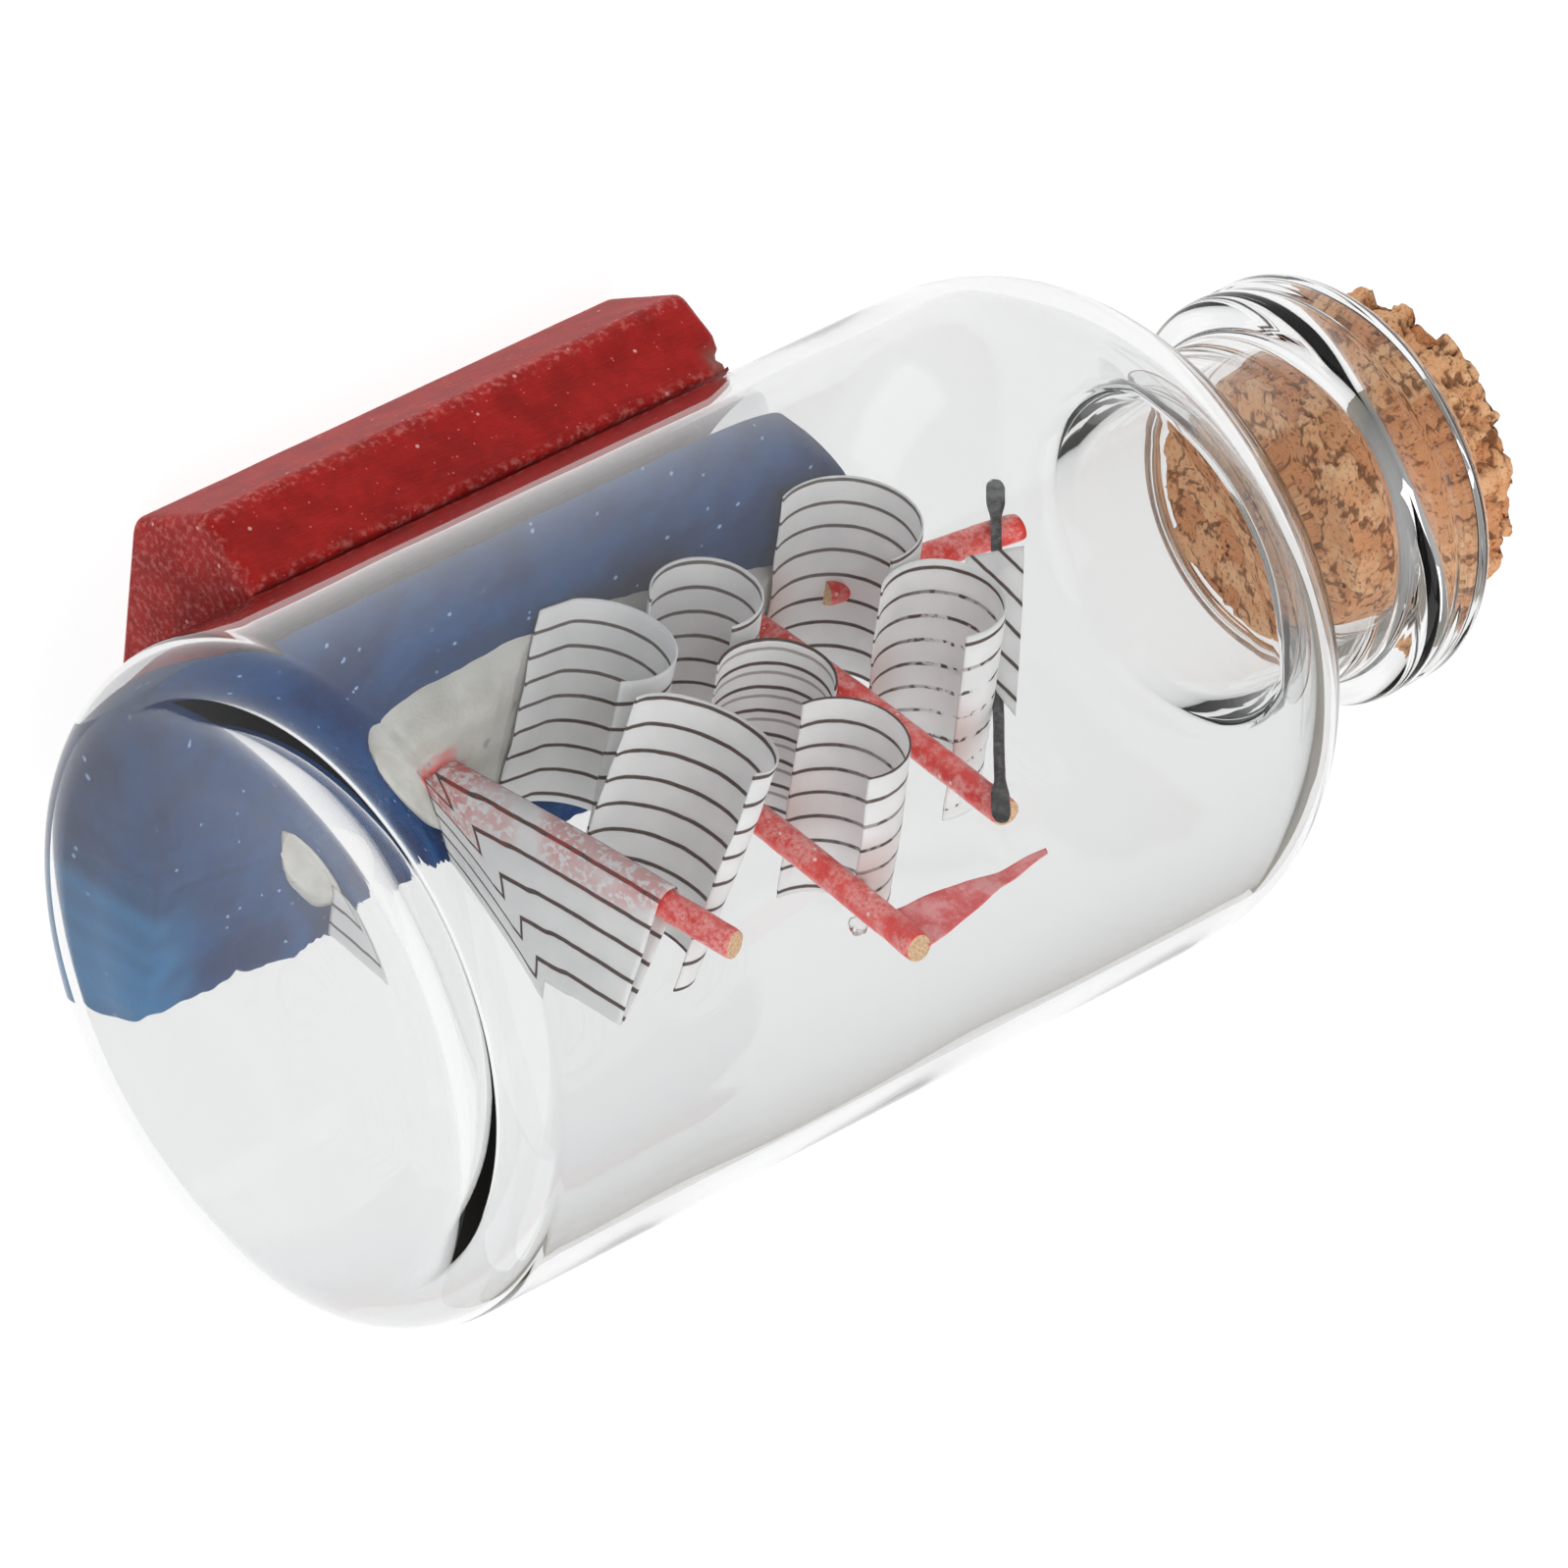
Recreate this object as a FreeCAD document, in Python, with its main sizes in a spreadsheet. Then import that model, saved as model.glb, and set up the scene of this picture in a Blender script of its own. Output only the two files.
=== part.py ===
import FreeCAD, Part
import Sketcher
import math
import os

# A small corked glass bottle lying on its side on a red wooden cradle, with a
# three-masted paper-sailed ship on a putty sea inside it.
#
# Frame: +X runs along the bottle from its base to its cork, +Z is up.  The origin is
# under the middle of the whole length, on the surface that the cradle stands on.
# "Station" is the distance along the bottle from the plane of its base, and "level"
# is the height above (or below, when negative) the bottle's axis.

doc = FreeCAD.newDocument("ship_in_bottle")
sheet = doc.addObject("Spreadsheet::Sheet", "sizes")

SIZES = {
    # glass bottle
    "bottle_radius": 23.5,
    "wall": 1.4,
    "heel_radius": 5.5,
    "base_ring_radius": 16.0,
    "punt_depth": 1.8,
    "base_flat_radius": 2.0,
    "floor_station": 3.0,
    "floor_dome": 1.4,
    "dome_mid_share": 0.72,
    "inner_heel_radius": 2.6,
    "shoulder_station": 68.5,
    "shoulder_length": 12.0,
    "shoulder_drop": 15.2,
    "neck_radius": 12.3,
    "neck_fillet": 0.9,
    "fillet_skew": 0.8,
    "bore_radius": 10.35,
    "bore_edge": 0.5,
    "lip_station": 89.8,
    "lip_radius": 14.6,
    "lip_waist": 14.1,
    "lip_waist_share": 1.6,
    "lip_upper_share": 2.2,
    "mouth_round_share": 0.8,
    "bottle_length": 96.4,
    # cork
    "cork_station": 87.8,
    "cork_proud": 5.6,
    "cork_small_radius": 8.9,
    "cork_mouth_radius": 10.2,
    "cork_edge": 0.5,
    # cradle and the film of glue that holds the bottle on it
    "axis_level": 30.5,
    "stand_station": 15.0,
    "stand_length": 41.5,
    "stand_foot_half": 13.0,
    "stand_waist_half": 17.3,
    "stand_top_half": 14.9,
    "stand_waist_level": 6.3,
    "stand_edge_radius": 0.5,
    "glue_thickness": 0.2,
    "glue_half_angle": 27.0,
    "glue_inset": 3.0,
    # sea
    "sea_level": -12.3,
    "sea_gap": 0.04,
    "sea_near_half": 15.5,
    "sea_far_half": 13.0,
    "sea_end_station": 64.0,
    "sea_end_radius": 9.0,
    "undercut_side": 6.5,
    "undercut_level": -13.1,
    "undercut_foot_level": -21.0,
    "cut_margin": 5.0,
    "cut_reach": 30.0,
    # hull
    "hull_bottom": -13.9,
    "hull_deck": -10.8,
    "hull_stern_station": 17.2,
    "hull_beam_station": 26.5,
    "hull_bow_station": 62.0,
    "hull_half_beam": 8.9,
    "deck_inset": 4.0,
    "stern_inset_share": 0.45,
    # masts
    "mast_radius": 1.0,
    "mast_step_depth": 2.0,
    "fore_station": 52.5,
    "fore_tip": 13.1,
    "main_station": 39.26,
    "main_tip": 19.5,
    "main_rake": -1.25,
    "mizzen_station": 25.4,
    "mizzen_tip": 12.7,
    "mizzen_rake": 9.0,
    "bowsprit_station": 58.5,
    "bowsprit_level": -10.8,
    "bowsprit_rise": 9.0,
    "bowsprit_length": 15.6,
    # paper
    "paper": 0.2,
    "sail_width": 16.0,
    "spanker_chord": 8.6,
    "spanker_height": 18.4,
    "spanker_wrap": 1.1,
    "spanker_heading": -115.5,
    "spanker_foot_gap": 0.3,
    "spanker_glued_leech": 2.0,
    "jib_side": 1.92,
    # forestay
    "stay_radius": 0.38,
    "stay_side": 1.42,
    "stay_foot_station": 74.9,
    "stay_foot_level": -11.9,
    "stay_head_station": 50.2,
    "stay_head_level": 14.8,
    "stay_paddle_length": 4.5,
    "stay_paddle_half": 0.62,
    "stay_paddle_thickness": 0.44,
    # pennant
    "pennant_length": 12.4,
    "pennant_hoist": 4.0,
    "pennant_thickness": 0.3,
    "glue_bead_radius": 0.65,
    "glue_bead_aft": 0.9,
    "glue_bead_side": -1.35,
    "glue_bead_level": 14.5,
}

# One row for each square sail: mast, station and level of the middle of its curl,
# sideways middle, radius, lowest and highest angle of the curl, and yaw.
# Angles are measured from straight ahead (+X), positive upwards.
SQUARE_SAILS = {
    "mizzen_course": (34.0, -7.4, 1.0, 4.8, -110, 120, -7.0),
    "mizzen_topsail": (30.65, 4.1, 1.8, 5.0, -108, 92, -18.6),
    "main_course": (43.4, -6.9, 1.2, 3.7, -150, 105, 0.0),
    "main_topsail": (41.5, 1.9, 1.0, 3.8, -125, 58, 0.0),
    "main_topgallant": (40.7, 9.2, 1.0, 4.1, -88, 113, 0.0),
    "fore_course": (55.9, -6.8, 1.5, 4.8, -114, 98, 0.0),
    "fore_topsail": (55.7, 2.3, 1.0, 4.1, -126, 110, 0.0),
}

# Corners of the jib, (station, level): its foot, its aft edge going up, and its head.
JIB_CORNERS = [
    (70.7, -4.8), (66.9, -6.2), (62.4, -2.4), (60.6, 1.6), (60.2, 3.6), (58.8, 5.4), (58.0, 7.9),
]

# Corners of the pennant, measured forward of the main mast and up from its own foot.
PENNANT_LOWER = [(-0.2, 0.0), (5.6, 0.9), (9.6, 1.6)]
PENNANT_UPPER = [(9.9, 2.7), (5.6, 3.7), (-0.2, 4.2)]
PENNANT_TIP = (0.6, 1.5)


def fill_sheet():
    """Put every driving size in the sheet, one aliased cell a row."""
    rows = dict(SIZES)
    for sail, values in SQUARE_SAILS.items():
        names = ("station", "level", "side", "curl", "low", "high", "yaw")
        for name, value in zip(names, values):
            rows[sail + "_" + name] = value
    for row, (alias, value) in enumerate(rows.items(), start=1):
        sheet.set("A%d" % row, alias)
        sheet.set("B%d" % row, str(value))
        sheet.setAlias("B%d" % row, alias)
    doc.recompute()


fill_sheet()


def size(alias):
    return float(sheet.get(alias))


overall_length = size("bottle_length") + size("cork_proud")
base_x = -overall_length / 2
axis_z = size("axis_level")


def vec(x, y, z=0.0):
    return FreeCAD.Vector(x, y, z)


def in_bottle(station=0.0, side=0.0, level=0.0, turn=None):
    """Placement of something given by station, side and level."""
    return FreeCAD.Placement(vec(base_x + station, side, axis_z + level),
                             turn or FreeCAD.Rotation())


# ---------------------------------------------------------------- building helpers

def new_body(name, placement=None):
    body = doc.addObject("PartDesign::Body", name)
    body.Label = name
    body.Placement = placement or in_bottle()
    return body


def new_sketch(body, role, name, offset=0.0):
    """A sketch on one of the body's own origin planes, lifted off it by offset."""
    plane = [f for f in body.Origin.OriginFeatures if f.Role == role][0]
    sketch = body.newObject("Sketcher::SketchObject", body.Name + "_" + name)
    sketch.AttachmentSupport = [(plane, "")]
    sketch.MapMode = "FlatFace"
    sketch.AttachmentOffset = FreeCAD.Placement(vec(0, 0, offset), FreeCAD.Rotation())
    return sketch


def outline(sketch, start, steps):
    """Draw a closed outline: each step is a point, or a (via, end) pair for an arc."""
    here = start
    for step in steps + [start]:
        if isinstance(step, tuple) and isinstance(step[0], FreeCAD.Vector):
            sketch.addGeometry(Part.Arc(here, step[0], step[1]), False)
            here = step[1]
        elif (step - here).Length > 1e-6:
            sketch.addGeometry(Part.LineSegment(here, step), False)
            here = step


def revolve_x(body, sketch):
    feature = body.newObject("PartDesign::Revolution", body.Name + "_turned")
    feature.Profile = sketch
    feature.ReferenceAxis = (sketch, ["H_Axis"])
    feature.Angle = 360.0
    return feature


def pad(body, sketch, length, both_ways=False, back=False):
    """Pad a sketch; length is a sheet alias or an expression of aliases."""
    feature = body.newObject("PartDesign::Pad", body.Name + "_pad")
    feature.Profile = sketch
    feature.setExpression("Length", length)
    feature.Midplane = both_ways
    feature.Reversed = back
    return feature


def pocket_through(body, sketch):
    feature = body.newObject("PartDesign::Pocket", sketch.Name + "_cut")
    feature.Profile = sketch
    feature.Type = "ThroughAll"
    feature.Midplane = True
    return feature


def rod(name, radius, length, placement):
    """A round stick: a circle padded along its own Z."""
    body = new_body(name, placement)
    sketch = new_sketch(body, "XY_Plane", "section")
    circle = sketch.addGeometry(Part.Circle(vec(0, 0), vec(0, 0, 1), size(radius)), False)
    sketch.addConstraint(Sketcher.Constraint("Radius", circle, size(radius)))
    sketch.setExpression("Constraints[0]", "sizes." + radius)
    pad(body, sketch, length)
    return body


def cut_from(name, base, tools):
    """The base with the tools' space taken out of it."""
    if len(tools) == 1:
        tool = tools[0]
    else:
        tool = doc.addObject("Part::MultiFuse", name + "_tools")
        tool.Shapes = tools
    cut = doc.addObject("Part::Cut", name)
    cut.Label = name
    cut.Base = base
    cut.Tool = tool
    return cut


def polar(radius, degrees, middle=(0.0, 0.0)):
    angle = math.radians(degrees)
    return vec(middle[0] + radius * math.cos(angle), middle[1] + radius * math.sin(angle))


# ---------------------------------------------------------------- bottle and cork

def make_bottle():
    """Glass of revolution: punted base, straight side, elliptic shoulder, neck, lip."""
    radius = size("bottle_radius")
    wall = size("wall")
    heel = size("heel_radius")
    ring = size("base_ring_radius")
    punt = size("punt_depth")
    flat = size("base_flat_radius")
    floor = size("floor_station")
    inner = radius - wall
    inner_heel = size("inner_heel_radius")
    shoulder = size("shoulder_station")
    length = size("shoulder_length")
    drop = size("shoulder_drop")
    neck = size("neck_radius")
    fillet = size("neck_fillet")
    bore = size("bore_radius")
    lip_start = size("lip_station")
    lip = size("lip_radius")
    waist = size("lip_waist")
    end = size("bottle_length")
    round_lip = (end - lip_start) / 4
    mouth_round = size("mouth_round_share") * round_lip
    groove = lip_start + size("lip_waist_share") * round_lip
    upper_lip = lip_start + size("lip_upper_share") * round_lip
    edge = size("bore_edge")
    dome = size("floor_dome")
    mid_dome = size("dome_mid_share")

    def shoulder_at(angle, shell):
        return vec(shoulder + (length - shell) * math.sin(angle),
                   radius - drop + (drop - shell) * math.cos(angle))

    outer_stop = math.acos((neck + fillet - radius + drop) / drop)
    inner_stop = math.acos((bore + fillet - radius + drop) / (drop - wall))
    outer_foot = shoulder_at(outer_stop, 0)
    inner_foot = shoulder_at(inner_stop, wall)

    body = new_body("glass_bottle")
    sketch = new_sketch(body, "XZ_Plane", "profile")
    start = vec(punt, 0)
    bend = math.sqrt(0.5)
    steps = [
        vec(punt, flat),
        (vec(punt * mid_dome, (flat + ring) / 2), vec(0, ring)),
        vec(0, radius - heel),
        (vec(heel * (1 - bend), radius - heel * (1 - bend)), vec(heel, radius)),
        vec(shoulder, radius),
    ]
    for part in range(1, 4):
        half = outer_stop * (part - 0.5) / 3
        steps.append((shoulder_at(half, 0), shoulder_at(outer_stop * part / 3, 0)))
    lift = fillet * (1 - bend)
    skew = lift * size("fillet_skew")
    steps += [
        (vec(outer_foot.x + skew, neck + lift), vec(outer_foot.x + fillet, neck)),
        vec(lip_start - fillet, neck),
        (vec(lip_start - lift, neck + lift), vec(lip_start, neck + fillet)),
        vec(lip_start, lip - round_lip),
        (vec(lip_start + round_lip * (1 - bend), lip - round_lip * (1 - bend)),
         vec(lip_start + round_lip, lip)),
        (vec(groove, waist), vec(upper_lip, lip)),
        vec(end - mouth_round, lip),
        (vec(end - mouth_round * (1 - bend), lip - mouth_round * (1 - bend)),
         vec(end, lip - mouth_round)),
        vec(end, bore + edge),
        (vec(end - edge * (1 - bend), bore + edge * (1 - bend)), vec(end - edge, bore)),
        vec(inner_foot.x + fillet, bore),
        (vec(inner_foot.x + skew, bore + lift), inner_foot),
    ]
    for part in range(3, 0, -1):
        half = inner_stop * (part - 0.5) / 3
        steps.append((shoulder_at(half, wall), shoulder_at(inner_stop * (part - 1) / 3, wall)))
    steps += [
        vec(floor + inner_heel, inner),
        (vec(floor + inner_heel * (1 - bend), inner - inner_heel * (1 - bend)),
         vec(floor, inner - inner_heel)),
        (vec(floor + dome * mid_dome, (inner - inner_heel + flat) / 2), vec(floor + dome, flat)),
        vec(floor + dome, 0),
    ]
    outline(sketch, start, steps)
    revolve_x(body, sketch)
    return body


def make_cork():
    """Tapered stopper: snug at the mouth, thinner inside, standing a little proud."""
    body = new_body("cork_stopper")
    sketch = new_sketch(body, "XZ_Plane", "profile")
    inner_end = size("cork_station")
    outer_end = overall_length
    small = size("cork_small_radius")
    mouth = size("cork_mouth_radius")
    slope = (mouth - small) / (size("bottle_length") - inner_end)
    large = mouth + slope * size("cork_proud")
    edge = size("cork_edge")
    outline(sketch, vec(inner_end, 0), [
        vec(inner_end, small - edge),
        vec(inner_end + edge, small),
        vec(outer_end - edge, large),
        vec(outer_end, large - edge),
        vec(outer_end, 0),
    ])
    revolve_x(body, sketch)
    return body


# ---------------------------------------------------------------- cradle and its glue

def make_stand():
    """Bar of six-sided section, hollowed on top to the bottle's curve."""
    body = new_body("wood_stand", FreeCAD.Placement(vec(base_x, 0, 0), FreeCAD.Rotation()))
    sketch = new_sketch(body, "YZ_Plane", "section", size("stand_station"))
    foot = size("stand_foot_half")
    waist = size("stand_waist_half")
    top = size("stand_top_half")
    waist_level = size("stand_waist_level")
    cradle = size("bottle_radius") + size("glue_thickness")
    top_level = axis_z - math.sqrt(cradle ** 2 - top ** 2)
    outline(sketch, vec(-foot, 0), [
        vec(foot, 0),
        vec(waist, waist_level),
        vec(top, top_level),
        (vec(0, axis_z - cradle), vec(-top, top_level)),
        vec(-waist, waist_level),
    ])
    pad(body, sketch, "sizes.stand_length")
    doc.recompute()
    bar = body.Tip
    edges = []
    for number, edge in enumerate(bar.Shape.Edges, start=1):
        straight = edge.Curve.TypeId == "Part::GeomLine"
        if straight and abs(edge.tangentAt(edge.FirstParameter).x) > 0.9:
            edges.append("Edge%d" % number)
    fillet = body.newObject("PartDesign::Fillet", "wood_stand_eased_edges")
    fillet.Base = (bar, edges)
    fillet.setExpression("Radius", "sizes.stand_edge_radius")
    body.Tip = fillet
    return body


def make_stand_glue():
    """Thin film of glue between the cradle and the glass."""
    body = new_body("stand_glue")
    start = size("stand_station") + size("glue_inset")
    sketch = new_sketch(body, "YZ_Plane", "section", start)
    inside = size("bottle_radius")
    outside = inside + size("glue_thickness")
    half = size("glue_half_angle")
    low, high = -90 - half, -90 + half
    outline(sketch, polar(inside, low), [
        (polar(inside, -90), polar(inside, high)),
        polar(outside, high),
        (polar(outside, -90), polar(outside, low)),
    ])
    pad(body, sketch, "sizes.stand_length - 2 * sizes.glue_inset")
    return body


# ---------------------------------------------------------------- sea and hull

def make_sea_block():
    """Putty that fills the bottom of the bottle, flat on top, rounded at the far end."""
    body = new_body("sea_block")
    gap = size("sea_gap")
    radius = size("bottle_radius") - size("wall") - gap
    floor = size("floor_station") + size("floor_dome") + gap
    heel = size("inner_heel_radius")
    end = size("sea_end_station")
    bend = math.sqrt(0.5)
    margin = size("cut_margin")
    reach = size("cut_reach")
    profile = new_sketch(body, "XZ_Plane", "profile")
    outline(profile, vec(floor, 0), [
        vec(floor, radius - heel),
        (vec(floor + heel * (1 - bend), radius - heel * (1 - bend)), vec(floor + heel, radius)),
        vec(end, radius),
        vec(end, 0),
    ])
    revolve_x(body, profile)
    side = new_sketch(body, "XZ_Plane", "above")
    level = size("sea_level")
    outline(side, vec(0, level), [
        vec(end + margin, level), vec(end + margin, reach), vec(0, reach),
    ])
    pocket_through(body, side)
    plan = new_sketch(body, "XY_Plane", "beyond")
    near = size("sea_near_half")
    far = -size("sea_far_half")
    turn = size("sea_end_radius")
    outline(plan, vec(0, near), [
        vec(end - turn, near),
        (vec(end - turn * (1 - bend), near - turn * (1 - bend)), vec(end, near - turn)),
        vec(end, far + turn),
        (vec(end - turn * (1 - bend), far + turn * (1 - bend)), vec(end - turn, far)),
        vec(0, far),
        vec(0, -reach),
        vec(end + margin, -reach),
        vec(end + margin, reach),
        vec(0, reach),
    ])
    pocket_through(body, plan)
    under = new_sketch(body, "YZ_Plane", "under")
    foot = size("undercut_foot_level")
    lip = size("undercut_level")
    outline(under, vec(near + margin, lip), [
        vec(near, lip),
        vec(size("undercut_side"), foot),
        vec(size("undercut_side"), foot - margin),
        vec(near + margin, foot - margin),
    ])
    pocket_through(body, under)
    return body


def make_hull_block():
    """Low mound of putty: round stern, sides that flare down to the sea, pointed bow."""
    body = new_body("hull_block")
    stern = size("hull_stern_station")
    beam = size("hull_beam_station")
    bow = size("hull_bow_station")
    half = size("hull_half_beam")
    rings = []
    for name, level, inset in (("keel", "hull_bottom", 0.0), ("deck", "hull_deck", size("deck_inset"))):
        sketch = new_sketch(body, "XY_Plane", name, size(level))
        wide = half - inset
        tip = bow - inset
        back = stern + inset * size("stern_inset_share")
        bulge = ((tip - beam) ** 2 + wide ** 2) / (2 * wide)
        middle = (beam + tip) / 2
        side = wide - bulge + math.sqrt(bulge ** 2 - (middle - beam) ** 2)
        outline(sketch, vec(beam, -wide), [
            (vec(middle, -side), vec(tip, 0)),
            (vec(middle, side), vec(beam, wide)),
            (vec(back, 0), vec(beam, -wide)),
        ])
        rings.append(sketch)
    loft = body.newObject("PartDesign::AdditiveLoft", "hull_block_loft")
    loft.Profile = rings[0]
    loft.Sections = [rings[1]]
    loft.Ruled = True
    return body


# ---------------------------------------------------------------- spars

def make_mast(name, station, tip, rake_name=None):
    """Stick stepped a little way down into the hull, raked forward by an angle of the sheet."""
    step = size("hull_deck") - size("mast_step_depth")
    length = "(sizes.%s - sizes.hull_deck + sizes.mast_step_depth) / cos(%s)"
    angle = "sizes." + rake_name if rake_name else "0"
    rake = size(rake_name) if rake_name else 0.0
    turn = FreeCAD.Rotation(vec(0, 1, 0), rake)
    shift = size("mast_step_depth") * math.tan(math.radians(rake))
    place = in_bottle(size(station) - shift, 0, step, turn)
    return rod(name, "mast_radius", length % (tip, angle), place)


def make_bowsprit():
    turn = FreeCAD.Rotation(vec(0, 1, 0), 90 - size("bowsprit_rise"))
    place = in_bottle(size("bowsprit_station"), 0, size("bowsprit_level"), turn)
    return rod("bowsprit", "mast_radius", "sizes.bowsprit_length", place)


# ---------------------------------------------------------------- paper

def make_square_sail(name):
    """A strip of paper curled forward of its mast like a letter C."""
    turn = FreeCAD.Rotation(vec(0, 0, 1), size(name + "_yaw"))
    place = in_bottle(size(name + "_station"), size(name + "_side"), size(name + "_level"), turn)
    body = new_body(name + "_sheet", place)
    sketch = new_sketch(body, "XZ_Plane", "curl")
    curl = size(name + "_curl")
    low = size(name + "_low")
    high = size(name + "_high")
    middle = (low + high) / 2
    inside = curl - size("paper")
    outline(sketch, polar(curl, low), [
        (polar(curl, middle), polar(curl, high)),
        polar(inside, high),
        (polar(inside, middle), polar(inside, low)),
    ])
    pad(body, sketch, "sizes.sail_width", both_ways=True)
    return body


def make_spanker():
    """Paper folded round the mizzen mast, its two layers meeting at the leech."""
    lean = FreeCAD.Rotation(vec(0, 1, 0), size("mizzen_rake"))
    heading = FreeCAD.Rotation(vec(0, 0, 1), size("spanker_heading"))
    gap = size("spanker_foot_gap")
    rake = math.radians(size("mizzen_rake"))
    lift = gap / math.cos(rake)
    shift = gap * math.tan(rake)
    place = in_bottle(size("mizzen_station") + shift, 0, size("hull_deck") + lift, lean * heading)
    body = new_body("spanker_sheet", place)
    sketch = new_sketch(body, "XY_Plane", "fold")
    paper = size("paper")
    for radius, chord in ((size("spanker_wrap") + paper, size("spanker_chord")),
                          (size("spanker_wrap"),
                           size("spanker_chord") - size("spanker_glued_leech"))):
        touch = math.degrees(math.acos(radius / chord))
        outline(sketch, polar(radius, touch), [
            (polar(radius, 180), polar(radius, -touch)),
            vec(chord, 0),
        ])
    pad(body, sketch, "sizes.spanker_height")
    return body


def make_flat_sheet(name, corners, side, thickness):
    """A flat piece that stands fore and aft, cut to corners of (station, level)."""
    body = new_body(name, in_bottle(0, size(side) if side else 0.0, 0))
    sketch = new_sketch(body, "XZ_Plane", "cut")
    outline(sketch, vec(*corners[0]), [vec(*corner) for corner in corners[1:]])
    pad(body, sketch, thickness, both_ways=True)
    return body


def make_jib():
    return make_flat_sheet("jib_sheet", JIB_CORNERS, "jib_side", "sizes.paper")


def make_pennant():
    """Long pointed flag of stiff red paper, its hoist glued to the main mast."""
    mast = size("main_station")
    fly = mast + size("pennant_length")
    foot = size("main_tip") - size("pennant_hoist")
    corners = [(mast + forward, foot + up) for forward, up in PENNANT_LOWER]
    corners.append((fly + PENNANT_TIP[0], foot + PENNANT_TIP[1]))
    corners += [(mast + forward, foot + up) for forward, up in PENNANT_UPPER]
    return make_flat_sheet("pennant_sheet", corners, None, "sizes.pennant_thickness")


# ---------------------------------------------------------------- stay and glue bead

def make_forestay():
    """Stiff black stick from beyond the bowsprit up to the fore masthead."""
    low = vec(size("stay_foot_station"), size("stay_side"), size("stay_foot_level"))
    high = vec(size("stay_head_station"), size("stay_side"), size("stay_head_level"))
    run = high - low
    turn = FreeCAD.Rotation(vec(0, 0, 1), run)
    place = in_bottle(low.x, low.y, low.z, turn)
    stick = doc.addObject("Part::Cylinder", "stay_stick")
    stick.setExpression("Radius", "sizes.stay_radius")
    stick.Height = run.Length - 2
    stick.Placement = place.multiply(FreeCAD.Placement(vec(0, 0, 1), FreeCAD.Rotation()))
    pieces = [stick]
    paddle = size("stay_paddle_length")
    half = size("stay_paddle_half")
    thick = size("stay_paddle_thickness")
    for name, start in (("low", 0.0), ("high", run.Length - paddle)):
        flat = doc.addObject("Part::Ellipsoid", "stay_paddle_" + name)
        flat.Radius1 = paddle / 2
        flat.Radius2 = half
        flat.Radius3 = thick
        middle = FreeCAD.Placement(vec(0, 0, start + paddle / 2), FreeCAD.Rotation())
        flat.Placement = place.multiply(middle)
        pieces.append(flat)
    stay = doc.addObject("Part::MultiFuse", "stay_whole")
    stay.Shapes = pieces
    return stay


def make_glue_bead():
    """Clear drop of dried glue on the far side of the main mast, under the pennant."""
    bead = doc.addObject("Part::Sphere", "bead_drop")
    bead.setExpression("Radius", "sizes.glue_bead_radius")
    station = size("main_station") - size("glue_bead_aft")
    bead.Placement = in_bottle(station, size("glue_bead_side"), size("glue_bead_level"))
    return bead


# ---------------------------------------------------------------- the assembly

bottle = make_bottle()
cork = make_cork()
stand = make_stand()
stand_glue = make_stand_glue()

foremast = make_mast("foremast", "fore_station", "fore_tip")
mainmast = make_mast("mainmast", "main_station", "main_tip", "main_rake")
mizzenmast = make_mast("mizzenmast", "mizzen_station", "mizzen_tip", "mizzen_rake")
bowsprit = make_bowsprit()

sails = {}
for sail_name in SQUARE_SAILS:
    sheet_body = make_square_sail(sail_name)
    sails[sail_name] = cut_from(sail_name, sheet_body, [foremast, mainmast, bowsprit])
spanker = cut_from("spanker", make_spanker(), [mizzenmast])
forestay = cut_from("forestay", make_forestay(), [foremast, bowsprit, sails["fore_topsail"]])
jib = cut_from("jib", make_jib(), [forestay])
pennant = cut_from("pennant", make_pennant(), [mainmast])
glue_bead = cut_from("glue_bead", make_glue_bead(), [mainmast])

hull_block = make_hull_block()
hull = cut_from("ship_hull", hull_block,
                [foremast, mainmast, mizzenmast, bowsprit] + list(sails.values()) + [spanker])
sea = cut_from("sea_putty", make_sea_block(), [hull_block])

nodes = [bottle, cork, stand, stand_glue, sea, hull, foremast, mainmast, mizzenmast, bowsprit]
nodes += list(sails.values()) + [spanker, jib, forestay, pennant, glue_bead]

doc.recompute()

for item in doc.Objects:
    if "Invalid" in item.State or "Error" in item.State:
        raise RuntimeError("%s did not build: %s" % (item.Name, item.State))
for node in nodes:
    if node.Shape.isNull() or not node.Shape.isValid():
        raise RuntimeError("%s has no valid shape" % node.Label)

os.makedirs("parts", exist_ok=True)
for node in nodes:
    node.Shape.exportStep("parts/%s.step" % node.Label)
    print("%-16s %9.2f mm3  %d solid" % (node.Label, node.Shape.Volume, len(node.Shape.Solids)))
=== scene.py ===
import math

import bmesh
import bpy
from mathutils import Matrix, Vector, noise


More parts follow.
